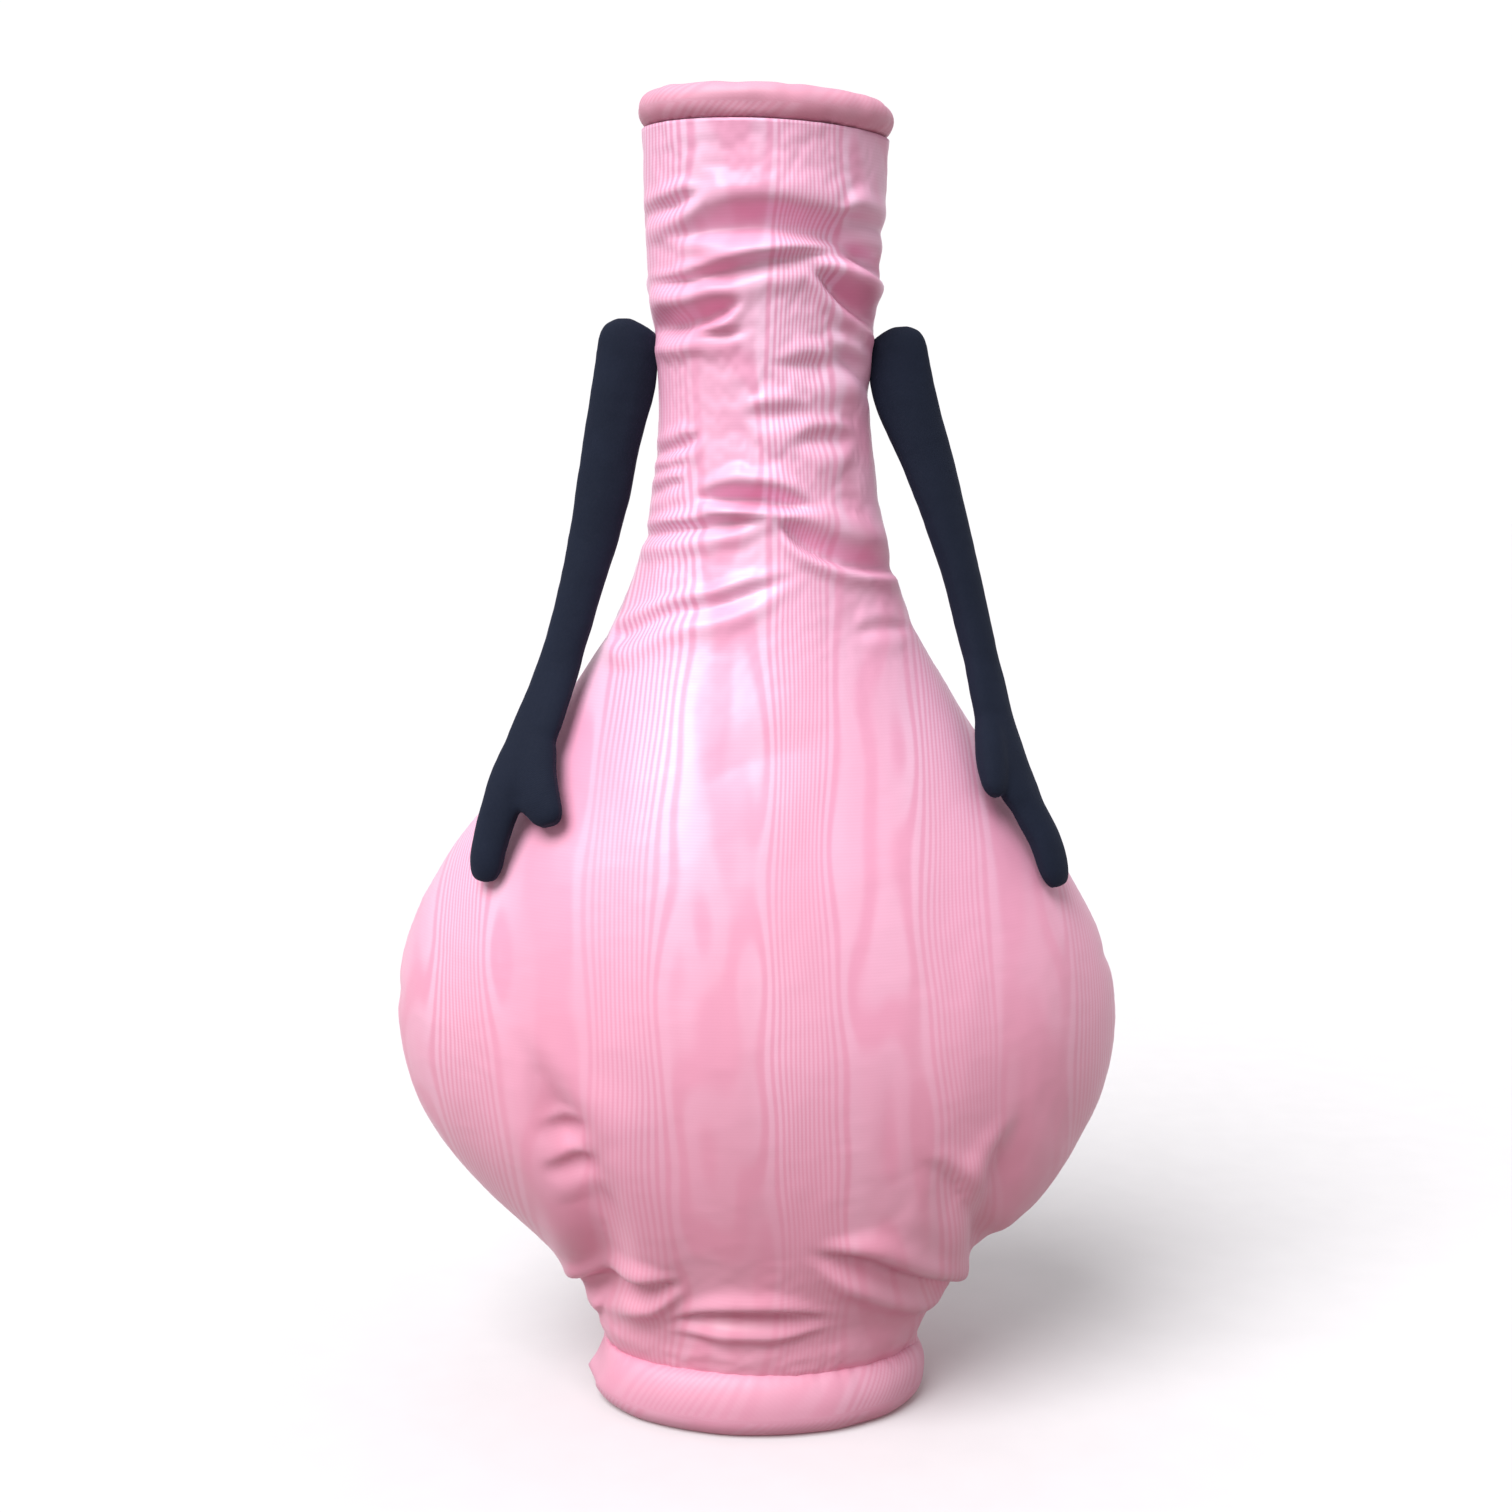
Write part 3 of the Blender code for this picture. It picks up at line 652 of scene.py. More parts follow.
def moire(name, turn=0.0, contrast=1.0, offset=(0, 0, 0), dull=0.0, roughness=0.42):
    """Watered cloth: fine ribs, the watermark where two layers of ribs were pressed, and painted shade
    that turns it a darker, warmer rose towards the bottom.
    """
    n = Nodes(bpy.data.materials.new(name))
    cloth = n.stretch(n.attribute("cloth"), (1, 1, 1), offset, turn)
    across, up = n.parts(cloth)[0], n.parts(cloth)[1]

    wander = n.math("MULTIPLY_ADD", n.signed_noise(cloth, (6.0, 1.8, 1)), WANDER, across)
    column = n.waves(wander, COLUMN_PERIOD)
    level = n.step(column, -PLATEAU_EDGE, PLATEAU_EDGE)
    lines = n.math("MULTIPLY_ADD", level, 2 * LINES_EACH_SIDE, -LINES_EACH_SIDE)
    lines = n.math("MULTIPLY_ADD", n.signed_noise(cloth, (30, 10, 1)), WOOD_GRAIN, lines)
    lines = n.math("MULTIPLY_ADD", n.signed_noise(cloth, (60, 700, 1)), LINE_JITTER, lines)
    light = n.step(n.math("COSINE", n.math("MULTIPLY", lines, 2 * math.pi)), -0.95, 0.8)

    patches = n.noise(n.stretch(cloth, (16, 7, 1), (4, 2, 0)), 1.0, 1.0)
    presence = n.math("MULTIPLY_ADD", n.step(patches, 0.32, 0.66), 0.5 * contrast, 0.5 * contrast)
    upper = n.math("MULTIPLY_ADD", n.step(up, *UPPER_RISE), UPPER_GAIN, 1 - UPPER_GAIN)
    plain = n.step(n.math("ABSOLUTE", column), 0.75, 0.97)
    presence = n.math("MULTIPLY", presence, upper)
    presence = n.math("MULTIPLY", presence, n.math("MULTIPLY_ADD", plain, PLAIN_FADE, 1.0))
    mark = n.math("MULTIPLY", light, presence)
    ribs = n.math("MULTIPLY_ADD", n.waves(up, RIB_PITCH), 0.5, 0.5)

    base = n.mix(mark, DARK_PINK, LIGHT_PINK)
    cloudy = n.noise(n.stretch(cloth, (22, 5, 1), (1, 7, 0)), 1.0, 2.0)
    base = n.mix(n.math("MULTIPLY", n.step(cloudy, 0.35, 0.75), CLOUD_SHARE), base, CLOUD_PINK)
    base = n.mix(n.math("MULTIPLY", ribs, RIB_SHARE), base, RIB_PINK)
    base = n.mix(dull, base, DULL_PINK)
    # Painted shade: the cloth turns a darker, warmer rose downwards, in place of the shade on the lower
    # body; the rolls' cloth coordinates sit low on this scale, so they take nearly all of it.
    base = n.mix(n.math("MULTIPLY", n.step(up, *LOW_SHADE_RISE), LOW_SHADE_SHARE), base, LOW_SHADE_PINK)
    normal = n.bump(mark, MARK_BUMP, 0.4, n.bump(ribs, RIB_BUMP, 0.35))
    return n.surface(base, n.math("MULTIPLY_ADD", mark, -0.08, roughness), normal,
                     Specular_IOR_Level=0.55, Sheen_Weight=0.10, Sheen_Roughness=0.35,
                     Sheen_Tint=CLOTH_SHEEN)


WALE_PITCH = 0.0009  # m, columns of stitches in the jersey
COURSE_PITCH = 0.0007  # m, its rows of stitches


def jersey():
    """Matt navy jersey: fine columns of stitches and a little fluff."""
    n = Nodes(bpy.data.materials.new("navy_jersey"))
    cloth = n.attribute("cloth")
    along, around = n.parts(cloth)[0], n.parts(cloth)[1]
    knit = n.math("MULTIPLY", n.waves(around, WALE_PITCH), n.waves(along, COURSE_PITCH))
    knit = n.math("MULTIPLY_ADD", knit, 0.5, 0.5)
    fluff = n.noise(n.position(), 900, 2.0)
    wear = n.noise(n.position(), 30, 3.0)
    base = n.mix(knit, colour(10, 18, 33), colour(18, 28, 47))
    base = n.mix(n.math("MULTIPLY", n.step(wear, 0.45, 0.8), 0.5), base, colour(24, 33, 52))
    normal = n.bump(fluff, 0.0002, 0.3, n.bump(knit, 0.0001, 0.4))
    return n.surface(base, n.math("MULTIPLY_ADD", fluff, 0.12, 0.80), normal,
                     Specular_IOR_Level=0.25, Sheen_Weight=0.08, Sheen_Roughness=0.5,
                     Sheen_Tint=colour(120, 135, 170))


def woven(name, dark, light, pitch, roughness=0.85):
    """Plain woven or felted cloth from the piece's own place."""
    n = Nodes(bpy.data.materials.new(name))
    place = n.position()
    x, y, z = n.parts(place)[0], n.parts(place)[1], n.parts(place)[2]
    weave = n.math("MULTIPLY", n.waves(n.math("ADD", x, y), pitch), n.waves(z, pitch))
    weave = n.math("MULTIPLY_ADD", weave, 0.5, 0.5)
    slub = n.noise(place, 120, 3.0)
    base = n.mix(n.math("MULTIPLY_ADD", weave, 0.5, n.math("MULTIPLY", slub, 0.5)), dark, light)
    rough = n.math("MULTIPLY_ADD", slub, 0.1, roughness - 0.05)
    return n.surface(base, rough, n.bump(weave, 0.00012, 0.5), Sheen_Weight=0.1)


def fibre(name, dark, light):
    """Loose white fibre or pressed board."""
    n = Nodes(bpy.data.materials.new(name))
    place = n.position()
    tufts = n.noise(place, 260, 5.0, 0.7)
    clumps = n.noise(place, 45, 3.0)
    base = n.mix(n.math("MULTIPLY_ADD", tufts, 0.7, n.math("MULTIPLY", clumps, 0.3)), dark, light)
    rough = n.math("MULTIPLY_ADD", clumps, 0.1, 0.85)
    return n.surface(base, rough, n.bump(tufts, 0.0006, 0.5))


MOIRE_FRONT = moire("moire_front", offset=(-0.0165, 0, 0))
MOIRE_BACK = moire("moire_back", offset=(0.31, 0.17, 0))
MOIRE_BIAS = moire("moire_bias", turn=math.radians(38), contrast=0.7, offset=(0.1, 0.5, 0), dull=0.6,
                   roughness=0.56)
JERSEY = jersey()
LINING = woven("lining_cotton", colour(214, 186, 190), colour(236, 214, 216), 0.0008)
THREAD = woven("navy_thread", colour(18, 24, 38), colour(40, 50, 72), 0.0005, 0.7)
BASE_CLOTH = woven("base_cotton", colour(206, 140, 160), colour(228, 168, 188), 0.0008)
CORD = woven("cord_cotton", colour(214, 208, 194), colour(238, 234, 224), 0.0016)
WADDING = fibre("wadding_fibre", colour(222, 222, 220), colour(248, 248, 246))
BOARD = fibre("base_board_fibre", colour(122, 106, 88), colour(158, 140, 118))


def dress(piece, material):
    piece.data.materials.clear()
    piece.data.materials.append(material)


def finish(piece, material, body, replaced):
    """Gives a piece its material, the CAD nodes it stands for and its body, if it rides one."""
    dress(piece, material)
    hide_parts(*replaced)
    if body:
        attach(piece, body)


# ---- the body

def build_panel(name, side, material):
    """A cover with its wadding and its lining: the front (-1) or the back (1) of the body."""
    outer = displaced_grid(side)
    normals = grid_normals(outer, side)
    inner = outer - normals * COVER_THICKNESS
    keep_to_side(inner, side)
    cover = shell_between(name + "_moire", outer, inner)
    plain = body_grid(ROWS, COLUMNS, side=side)[0]
    coordinates = cloth_coordinates(plain)
    store_vectors(cover, "cloth", np.concatenate([coordinates, coordinates]))
    finish(cover, material, "vase", [name + "_cover"])

    plain_normals = grid_normals(plain, side)
    sunk = -np.sum((outer - plain) * plain_normals, axis=-1)
    deeper = deepest_around(sunk, WADDING_REACH) - WADDING_INSET + WADDING_CLEARANCE
    deeper = np.clip(deeper, 0, WADDING_DEEPEST - WADDING_INSET)
    inset = body_grid(ROWS, COLUMNS, WADDING_INSET, side)[0]
    coarse = (inset - plain_normals * deeper[..., None])[::WADDING_STEP, ::WADDING_STEP]
    keep_to_side(coarse, side, 0.15)
    wadding_inner = body_grid(ROWS // WADDING_STEP, COLUMNS // WADDING_STEP,
                              LINING_INSETS[0] - LINING_CLEARANCE, side)[0]
    wadding = shell_between(name + "_padding", coarse, wadding_inner)
    finish(wadding, WADDING, "vase", [name + "_wadding"])

    shells = []
    for inset in LINING_INSETS:
        grid = body_grid(ROWS // 2, COLUMNS // 2, inset, side)[0]
        ripple = LINING_RIPPLE[1] * noise_field(grid, LINING_RIPPLE[0], (2.0, side * 5.0, 1.0))
        grid = grid + grid_normals(grid, side) * ripple[..., None]
        keep_to_side(grid, side, 0.1)
        shells.append(grid)
    lining = shell_between(name + "_lining_cloth", *shells)
    finish(lining, LINING, "vase", [name + "_lining"])


# ---- the rolls

ROLL_STEPS = 360
ROLL_SIDES = 40
MOUTH_HOLLOW = 1.4  # mm, depth of the dent in the front of the mouth's roll
MOUTH_HOLLOW_TURN = 1.46 * math.pi  # where that dent is, around the roll's oval
FOOT_LEAN = 2.5  # mm, outwards at the top of the roll
FOOT_LEFT_TOP = 5.5  # mm, from the roll's middle line out to its top at the left end
FOOT_RISE = 15.5  # mm, from the roll's middle to its top at the sides
FOOT_RISE_FRONT = 4.0  # mm, more at the front and the back
FOOT_RISE_SLOPE = 0.8  # mm, more at the left and less at the right
FOOT_CORNER = 2.6  # mm, how far the corner of the left end stands out
FOOT_LAP = 0.5  # mm, half the step between the lapped ends
FOOT_LIFT = 0.15  # mm, of the roll's lowest points above the floor


def ring_angles(steps, sides):
    """The angle along a ring and the angle around its section, at each point of its grid."""
    turn = np.linspace(0, 2 * math.pi, steps, endpoint=False)
    around = np.linspace(0, 2 * math.pi, sides, endpoint=False)
    return np.meshgrid(turn, around, indexing="ij")


def ring_grid(roll, shape):
    """Points of a roll (mm): its oval is walked from the right, each section from outside."""
    turn, around = ring_angles(ROLL_STEPS, ROLL_SIDES)
    x = roll["half_width"] * np.cos(turn)
    y = roll["half_depth"] * np.sin(turn)
    outward = np.stack([np.cos(turn) / roll["half_width"], np.sin(turn) / roll["half_depth"]], -1)
    outward = outward / np.linalg.norm(outward, axis=-1, keepdims=True)
    out, rise = shape(turn, around, roll["radius"])
    px = x + outward[..., 0] * out
    py = y + outward[..., 1] * out
    return np.stack([roll["x"] + px, py, roll["z"] + roll["slope"] * px + rise], -1), turn, around


def closed_tube(name, grid):
    """A ring whose section and path both close."""
    index = number_grid(grid)
    beside = np.roll(index, -1, axis=0)
    over = np.roll(index, -1, axis=1)
    corner = np.roll(beside, -1, axis=1)
    quads = np.stack([index, beside, corner, over], -1).reshape(-1, 4)
    piece = new_object(name, grid.reshape(-1, 3) * MM, quads)
    fix_faces(piece)
    return piece


def build_roll(name, roll, shape):
    """A strip of cloth around a roll; its cloth runs along the oval, then around the section."""
    grid, turn, around = ring_grid(roll, shape)
    piece = closed_tube(name + "_strip", grid)
    along = turn * (roll["half_width"] + roll["half_depth"]) / 2
    store_vectors(piece, "cloth", np.stack([along, around * roll["radius"], 0 * turn], -1) * MM)
    finish(piece, MOIRE_BIAS, "vase", [name + "_cover"])


def ring_noise(turn, around, scale, stretch, offset):
    """Noise along a roll that closes on itself; scale is how many features fit around it."""
    return noise_at(scale * np.cos(turn), scale * np.sin(turn), stretch * np.sin(around) + offset)


def upward(around):
    """The angle around a roll's section, from -pi to pi, 0 at its outer side."""
    return (around + math.pi) % (2 * math.pi) - math.pi


def mouth_shape(turn, around, radius):
    """The mouth's roll: lumps, puckers underneath and a dent in front."""
    lump = ring_noise(turn, around, 6.0, 0.6, 3.0)
    pucker = ring_noise(turn, around, 26.0, 0.3, 9.0)
    below = np.clip(-np.sin(around), 0, 1) ** 3
    size = radius * (1 + 0.07 * lump) - 0.45 * pucker * below
    hollow = MOUTH_HOLLOW * band(turn, MOUTH_HOLLOW_TURN, 0.33) * band(upward(around), -0.25, 0.55)
    return size * np.cos(around) - hollow, size * np.sin(around) * 0.98


def foot_shape(turn, around, radius):
    """The foot's roll leans out against the body; its left end is flat, with a lapped corner."""
    lump = ring_noise(turn, around, 4.0, 0.7, 6.0)
    pucker = ring_noise(turn, around, 22.0, 0.4, 2.0)
    above = np.clip(np.sin(around), 0, 1)
    size = radius * (1 + 0.03 * lump)
    round_side = size * np.cos(around) + FOOT_LEAN * above
    flat_side = size - (size - FOOT_LEFT_TOP) * above
    left_end = band(turn, math.pi, 0.55)
    out = round_side + (flat_side - round_side) * left_end * (np.cos(around) > 0) * (above > 0)
    corner = np.exp(-np.abs((turn - math.pi) / 0.13) ** 1.4 - np.abs(upward(around) / 0.3) ** 1.4)
    lap = np.tanh((turn - math.pi - 0.28 - 0.22 * upward(around)) / 0.02)
    out += FOOT_CORNER * corner
    out += FOOT_LAP * lap * np.clip(np.cos(around), 0, 1) * band(turn, math.pi, 0.6)
    top = FOOT_RISE + FOOT_RISE_FRONT * np.sin(turn) ** 2 - FOOT_RISE_SLOPE * np.cos(turn) - 0.5 * pucker
    rise = np.where(np.sin(around) > 0, top, size) * np.sin(around)
    return out, np.maximum(rise, -FOOT_ROLL["z"] + FOOT_LIFT + 0.02 * np.abs(out))


# ---- the arms

# The same pattern and routes as the CAD model (mm).
ARM_PATTERN = (
    (0, 0.5, 4, 3),
    (3, 0.5, 9, 6),
    (9, 0.3, 11.6, 7.8),
    (22, 0, 12.6, 8.5),
    (60, 0, 12.9, 8.6),
    (92, 0, 11.8, 8.1),
    (122, 0, 10.1, 7.5),
    (150, 0, 9.8, 6.9),
    (172, 0, 11, 6.5),
    (195, 0, 12.4, 6.3),
    (214, -0.2, 12, 6.1),
    (230, -0.4, 9.6, 5.9),
    (247, -0.2, 8.8, 5.6),
    (256, 0, 8.2, 5.2),
    (261.5, 0, 6.4, 3.6),
    (263.5, 0, 4, 2.2),
)
LEFT_THUMB = dict(root=(196, 4), angle=math.radians(33),
                  pattern=((-10, -2, 5, 4), (2, -2, 9, 6.2), (16, -3.4, 10, 6.4),
                           (28, -3.4, 10.8, 6), (35, -1, 8.8, 5.2), (39, 0, 7, 4.4),
                           (41.5, 0.2, 4.6, 2.8)))
RIGHT_THUMB = dict(root=(184, 3), angle=math.radians(24),
                   pattern=((-12, -0.5, 6, 4.8), (2, 0, 8.6, 6.2), (14, 0, 8.6, 6.4),
                            (25, 0.2, 7.4, 5.8), (32, 0.4, 5.4, 4.2), (35, 0.4, 2.6, 2)))
LEFT_ARM = dict(
    name="left_arm", shoulder="left_shoulder", inner=1, pivot=(-50.6, 0, 505.2),
    route=((-59.8, 0, 504), (-59.9, 0, 485), (-62.6, -0.5, 466), (-71.8, -5, 414),
           (-87.9, -19, 352), (-99.8, -36, 317), (-110.5, -45.5, 293),
           (-117.2, -49, 272), (-120.5, -50.5, 252.5)),
    twist=((0, 0), (0.45, 6), (0.7, 24), (1, 26)), thumb=LEFT_THUMB, aside=0)
RIGHT_ARM = dict(
    name="right_arm", shoulder="right_shoulder", inner=-1, pivot=(57.4, 0, 502.6),
    route=((65.4, 0, 500.4), (66.6, 0, 480), (71.5, -0.5, 459), (83.2, -3, 423),
           (93, -8, 387), (101, -15, 351.5), (108, -24, 318),
           (117.5, -31, 291), (127, -34, 272), (133.4, -36, 251)),
    twist=((0, 0), (0.12, 8), (0.35, 44), (0.6, 46), (1, 42)),
    thumb=RIGHT_THUMB, aside=2.6)
ARM_VOXEL = 1.1  # mm
STUFFING_VOXEL = 2.2  # mm
STUFFING_INSET = 1.6  # mm, inside the jersey
SEWN_REACH = 3.4  # mm, from the arm's plain edge to the neck
CROTCH = (224.0, 9.0)  # mm, along and across, where thumb and fingers part

STITCH_HEIGHTS = (-9, -12.5, -16)  # mm, from the pivot
STITCH_SIDES = (-2.6, 2.2, -1.4)  # mm, towards the back
STITCH_HALF = (2.3, 1.2)  # mm, along X and Z
STITCH_SLANT = 0.5  # mm
STITCH_INSET = 2.6  # mm, from the pivot towards the neck
THREAD_RADIUS = 0.28  # mm


def oval_loft(name, sections, sides, placing, inset=0.0):
    """Ovals lofted along X with smooth ends, in mm."""
    places = np.unique(np.concatenate([np.arange(sections[0][0], sections[-1][0], 2.0),
                                       [row[0] for row in sections]]))
    offset = smooth_values(sections, places, 1)
    width = np.maximum(smooth_values(sections, places, 2) - inset, 0.5)
    thickness = np.maximum(smooth_values(sections, places, 3) - inset, 0.5)
    turn = np.linspace(0, 2 * math.pi, sides, endpoint=False)
    grid = np.stack([np.repeat(places[:, None], sides, 1),
                     offset[:, None] + width[:, None] * np.cos(turn),
                     thickness[:, None] * np.sin(turn)], -1)
    index = number_grid(grid)
    beside = np.roll(index, -1, axis=1)
    quads = np.stack([index[:-1], beside[:-1], beside[1:], index[1:]], -1).reshape(-1, 4)
    piece = new_object(name, grid.reshape(-1, 3), [*quads, index[0][::-1], index[-1]])
    piece.data.transform(placing)
    fix_faces(piece)
    return piece


def apply_modifiers(piece):
    graph = bpy.context.evaluated_depsgraph_get()
    mesh = bpy.data.meshes.new_from_object(piece.evaluated_get(graph))
    old = piece.data
    piece.modifiers.clear()
    piece.data = mesh
    bpy.data.meshes.remove(old)


def flat_arm(name, thumb_plan, inset, voxel):
    """The arm laid flat (mm), grown into one skin with its thumb; an inset one stops short of the ends."""
    arm_rows = ARM_PATTERN[2:-2] if inset else ARM_PATTERN
    thumb_rows = thumb_plan["pattern"][:-1] if inset else thumb_plan["pattern"]
    arm = oval_loft(name, arm_rows, 48, Matrix(), inset)
    placing = (Matrix.Translation((*thumb_plan["root"], 0))
               @ Matrix.Rotation(thumb_plan["angle"], 4, "Z"))
    thumb = oval_loft(name + "_thumb", thumb_rows, 32, placing, inset)
    joined = bmesh.new()
    joined.from_mesh(arm.data)
    joined.from_mesh(thumb.data)
    joined.to_mesh(arm.data)
    joined.free()
    bpy.data.objects.remove(thumb)
    remesh = arm.modifiers.new("skin", "REMESH")
    remesh.mode = "VOXEL"
    remesh.voxel_size = voxel
    smooth = arm.modifiers.new("smooth", "SMOOTH")
    smooth.iterations = 9
    smooth.factor = 0.5
    apply_modifiers(arm)
    return arm


class Route:
    """The line that an arm follows, with its thumb side and its front at each place."""

    def __init__(self, arm):
        self.inner = arm["inner"]
        self.twist = arm["twist"]
        corners = np.array(arm["route"], float)
        corners[:, 0] -= arm["inner"] * arm["aside"] * np.linspace(0, 1, len(corners)) ** 2
        places = np.concatenate([[0], np.cumsum(np.linalg.norm(np.diff(corners, axis=0), axis=1))])
        self.length = places[-1]
        self.stations = [(place, *corner) for place, corner in zip(places, corners)]

    def point(self, places):
        return np.stack([smooth_values(self.stations, places, column) for column in (1, 2, 3)], -1)

    def bend(self, flat):
        """Places flat points (along, to the thumb side, to the front) on the route, all in mm."""
        at = np.clip(flat[:, 0], 0, self.length)
        along = self.point(np.minimum(at + 2, self.length)) - self.point(np.maximum(at - 2, 0))
        along = along / np.linalg.norm(along, axis=1, keepdims=True)
        inwards = np.array([self.inner, 0, 0]) - along * (along[:, :1] * self.inner)
        inwards = inwards / np.linalg.norm(inwards, axis=1, keepdims=True)
        front = np.cross(along, inwards) * self.inner
        angle = np.radians(smooth_values(self.twist, at / self.length))[:, None]
        thumb_side = inwards * np.cos(angle) + front * np.sin(angle)
        face_side = front * np.cos(angle) - inwards * np.sin(angle)
        return (self.point(at) + along * (flat[:, :1] - at[:, None])
                + thumb_side * flat[:, 1:2] + face_side * flat[:, 2:3])


def read_vectors(collection, name):
    """A vector of each item of a collection, as rows."""
    values = np.empty(len(collection) * 3)
    collection.foreach_get(name, values)
    return values.reshape(-1, 3)


def reach_neck(flat):
    """Draws the sewn edge of the shoulder out to the neck."""
    along, across = flat[:, 0], flat[:, 1]
    sewn = smoothstep(1.5, 8, along) * (1 - smoothstep(24, 62, along))
    moved = flat.copy()
    moved[:, 1] += SEWN_REACH * sewn * smoothstep(2, 11, across)
    moved[:, 2] *= 1 - 0.35 * sewn * smoothstep(6, 13, across)
    return moved


def arm_relief(flat, normals, arm):
    """Seam grooves, creases and the soft unevenness of a stuffed arm, in mm."""
    along, across, thick = flat[:, 0], flat[:, 1], flat[:, 2]
    edge = np.clip(1 - np.abs(normals[:, 2]) * 1.6, 0, 1)
    groove = -0.55 * np.exp(-(thick / 0.8) ** 2) * edge
    seed = arm["inner"] * 3.7
    rough = noise_at(along / 17, across / 9 + seed, thick / 9)
    fine = noise_at(along / 5, across / 8 - seed, thick / 8)
    crotch = band(along, CROTCH[0], 5) * band(across, CROTCH[1], 5)
    return groove + 0.35 * rough + 0.12 * fine - 0.8 * crotch


def build_arm(arm):
    """An arm's jersey and its stuffing, which bend together below the shoulder."""
    name = arm["name"]
    route = Route(arm)
    skin = flat_arm(name + "_jersey", arm["thumb"], 0.0, ARM_VOXEL)
    flat = read_vectors(skin.data.vertices, "co")
    normals = read_vectors(skin.data.vertex_normals, "vector")
    flat = flat + normals * arm_relief(flat, normals, arm)[:, None]
    store_vectors(skin, "cloth", np.stack([flat[:, 0], np.arctan2(flat[:, 2], flat[:, 1]) * 10,
                                           flat[:, 1]], -1) * MM)
    bent = route.bend(reach_neck(flat)) * MM
    skin.data.vertices.foreach_set("co", bent.ravel())
    fix_faces(skin)
    finish(skin, JERSEY, None, [name + "_front_cover", name + "_back_cover"])
    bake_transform(skin)

    core = flat_arm(name + "_stuffing", arm["thumb"], STUFFING_INSET, STUFFING_VOXEL)
    bent = route.bend(read_vectors(core.data.vertices, "co")) * MM
    core.data.vertices.foreach_set("co", bent.ravel())
    fix_faces(core)
    finish(core, WADDING, None, [name + "_filling"])
    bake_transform(core)


def build_stitches(arm):
    """Three thread loops that sew the shoulder to the neck's side seam."""
    turn, around = ring_angles(28, 10)
    thick = THREAD_RADIUS * np.cos(around)
    x = (arm["pivot"][0] + arm["inner"] * STITCH_INSET + (STITCH_HALF[0] + thick) * np.cos(turn))
    y = STITCH_SLANT * np.cos(turn) + THREAD_RADIUS * np.sin(around)
    z = arm["pivot"][2] + (STITCH_HALF[1] + thick) * np.sin(turn)
    shoulder = arm["shoulder"]
    for number, (rise, aside) in enumerate(zip(STITCH_HEIGHTS, STITCH_SIDES), start=1):
        piece = closed_tube("{}_loop_{}".format(shoulder, number), np.stack([x, aside + y, rise + z], -1))
        finish(piece, THREAD, shoulder, ["{}_stitch_{}".format(shoulder, number)])


# ---- carried-over CAD nodes

def dress_cad_nodes():
    looks = {"mouth_roll_cord": CORD, "foot_roll_cord": CORD, "base_board": BOARD,
             "base_lining": LINING, "base_cover": BASE_CLOTH}
    for node, look in looks.items():
        dress(frame["nodes"][node], look)


# ---- stage

CAMERA_DISTANCE = 0.905
CAMERA_HEIGHT = 0.4226
CAMERA_PITCH = math.radians(7.36)
CAMERA_LENS = 47.0

FLOOR_HALF = 40.0  # m
KEY_FROM = (-0.42, -0.64, 0.86)
KEY_SOFTNESS = math.radians(40)
KEY_STRENGTH = 3.35
KEY_COLOUR = (1.0, 0.97, 1.0)
BACK_STRENGTH = 1.03  # light from the back wall
WALL_STRENGTH = 0.74  # from the other walls
SLANT_STRENGTH = 0.18  # from between the walls and the ceiling
TOP_STRENGTH = 0.9  # from overhead
GROUND_LIGHT = (0.38, 0.24, 0.235, 1)
SKY_LIGHT = (1.0, 0.985, 1.0, 1)
FLOOR_TONES = (0.73, 0.77)


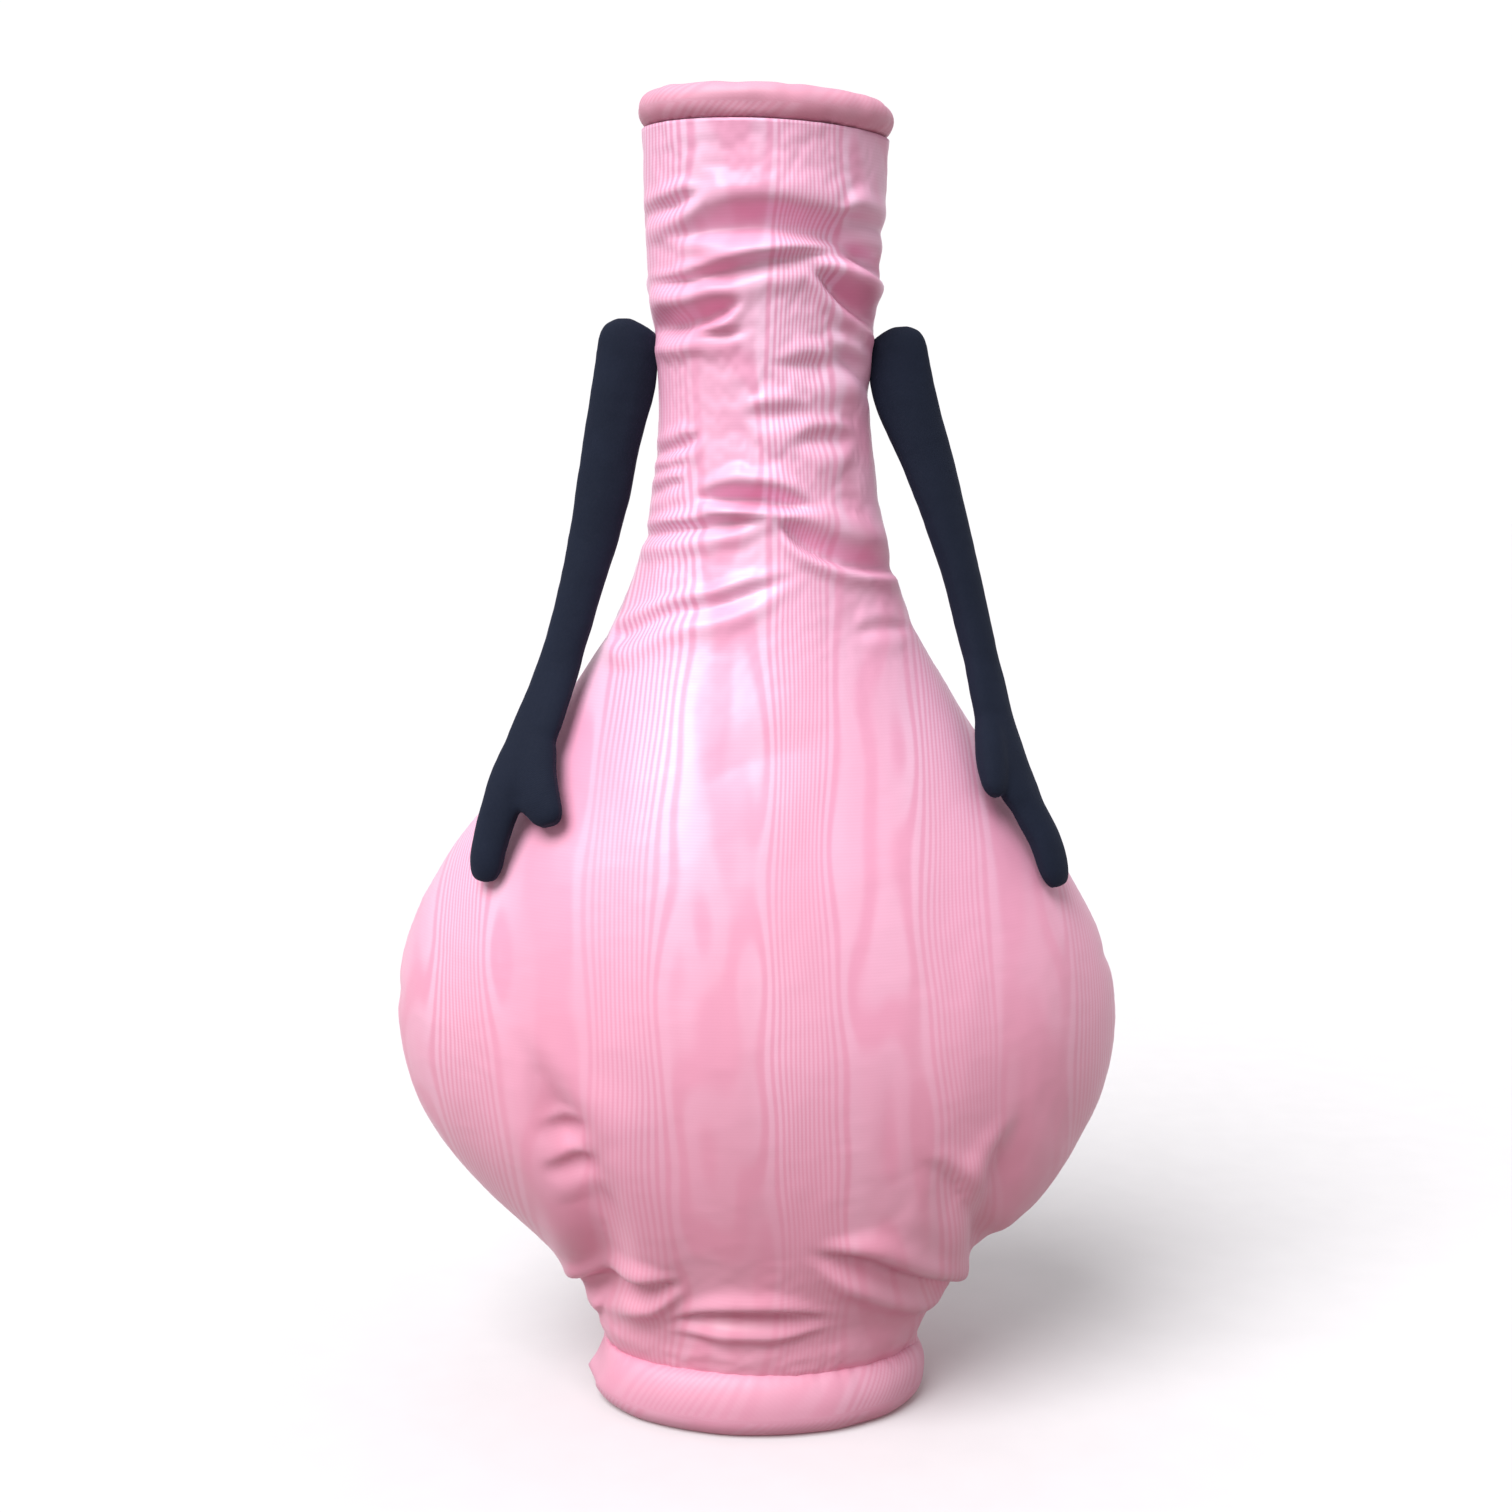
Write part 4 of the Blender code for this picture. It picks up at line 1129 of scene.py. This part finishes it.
def build_world():
    """A studio with pale walls and a bright ceiling, dim below the floor's level."""
    world = bpy.data.worlds.new("studio")
    bpy.context.scene.world = world
    n = Nodes(world)
    place = n.parts(n.add("ShaderNodeTexCoord", "Generated", {}))
    back, height = place[1], place[2]
    around = n.step(back, 0.5, 0.86, WALL_STRENGTH, BACK_STRENGTH)
    walls = n.step(height, 0.24, 0.36, around, SLANT_STRENGTH)
    inputs = n.tree.nodes["Background"].inputs
    n.feed(inputs["Strength"], n.step(height, 0.45, 0.9, walls, TOP_STRENGTH))
    n.feed(inputs["Color"], n.mix(n.step(height, -0.20, -0.01), GROUND_LIGHT, SKY_LIGHT))


def build_stage():
    camera_data = bpy.data.cameras.new("camera")
    camera_data.lens = CAMERA_LENS
    camera_data.sensor_width = 36
    camera = bpy.data.objects.new("camera", camera_data)
    camera.location = (0, -CAMERA_DISTANCE, CAMERA_HEIGHT)
    camera.rotation_euler = (math.pi / 2 - CAMERA_PITCH, 0, 0)
    bpy.context.scene.collection.objects.link(camera)
    bpy.context.scene.camera = camera

    n = Nodes(bpy.data.materials.new("floor_paper"))
    grain = n.noise(n.position(), 40, 3.0)
    dark, light = [(tone, tone, tone, 1) for tone in FLOOR_TONES]
    paper = n.surface(n.mix(grain, dark, light), 0.9, Specular_IOR_Level=0.1)
    corners = [(FLOOR_HALF * x, FLOOR_HALF * y, 0) for x, y in ((-1, -1), (1, -1), (1, 1), (-1, 1))]
    floor = new_object("floor", corners, [(0, 1, 2, 3)])
    floor.visible_diffuse = False
    floor.data.materials.append(paper)
    build_world()
    sun_data = bpy.data.lights.new("key", "SUN")
    sun_data.energy = KEY_STRENGTH
    sun_data.angle = KEY_SOFTNESS
    sun_data.color = KEY_COLOUR
    sun = bpy.data.objects.new("key", sun_data)
    sun.rotation_euler = (-Vector(KEY_FROM)).to_track_quat("-Z", "Y").to_euler()
    bpy.context.scene.collection.objects.link(sun)
    bpy.context.scene.view_settings.view_transform = "Standard"


for stray in [o for o in bpy.data.objects if o.name in ("Cube", "Light", "Camera")]:
    bpy.data.objects.remove(stray, do_unlink=True)
build_panel("front", -1, MOIRE_FRONT)
build_panel("back", 1, MOIRE_BACK)
build_roll("mouth_roll", MOUTH_ROLL, mouth_shape)
build_roll("foot_roll", FOOT_ROLL, foot_shape)
for arm_plan in (LEFT_ARM, RIGHT_ARM):
    build_arm(arm_plan)
    build_stitches(arm_plan)
dress_cad_nodes()
build_stage()
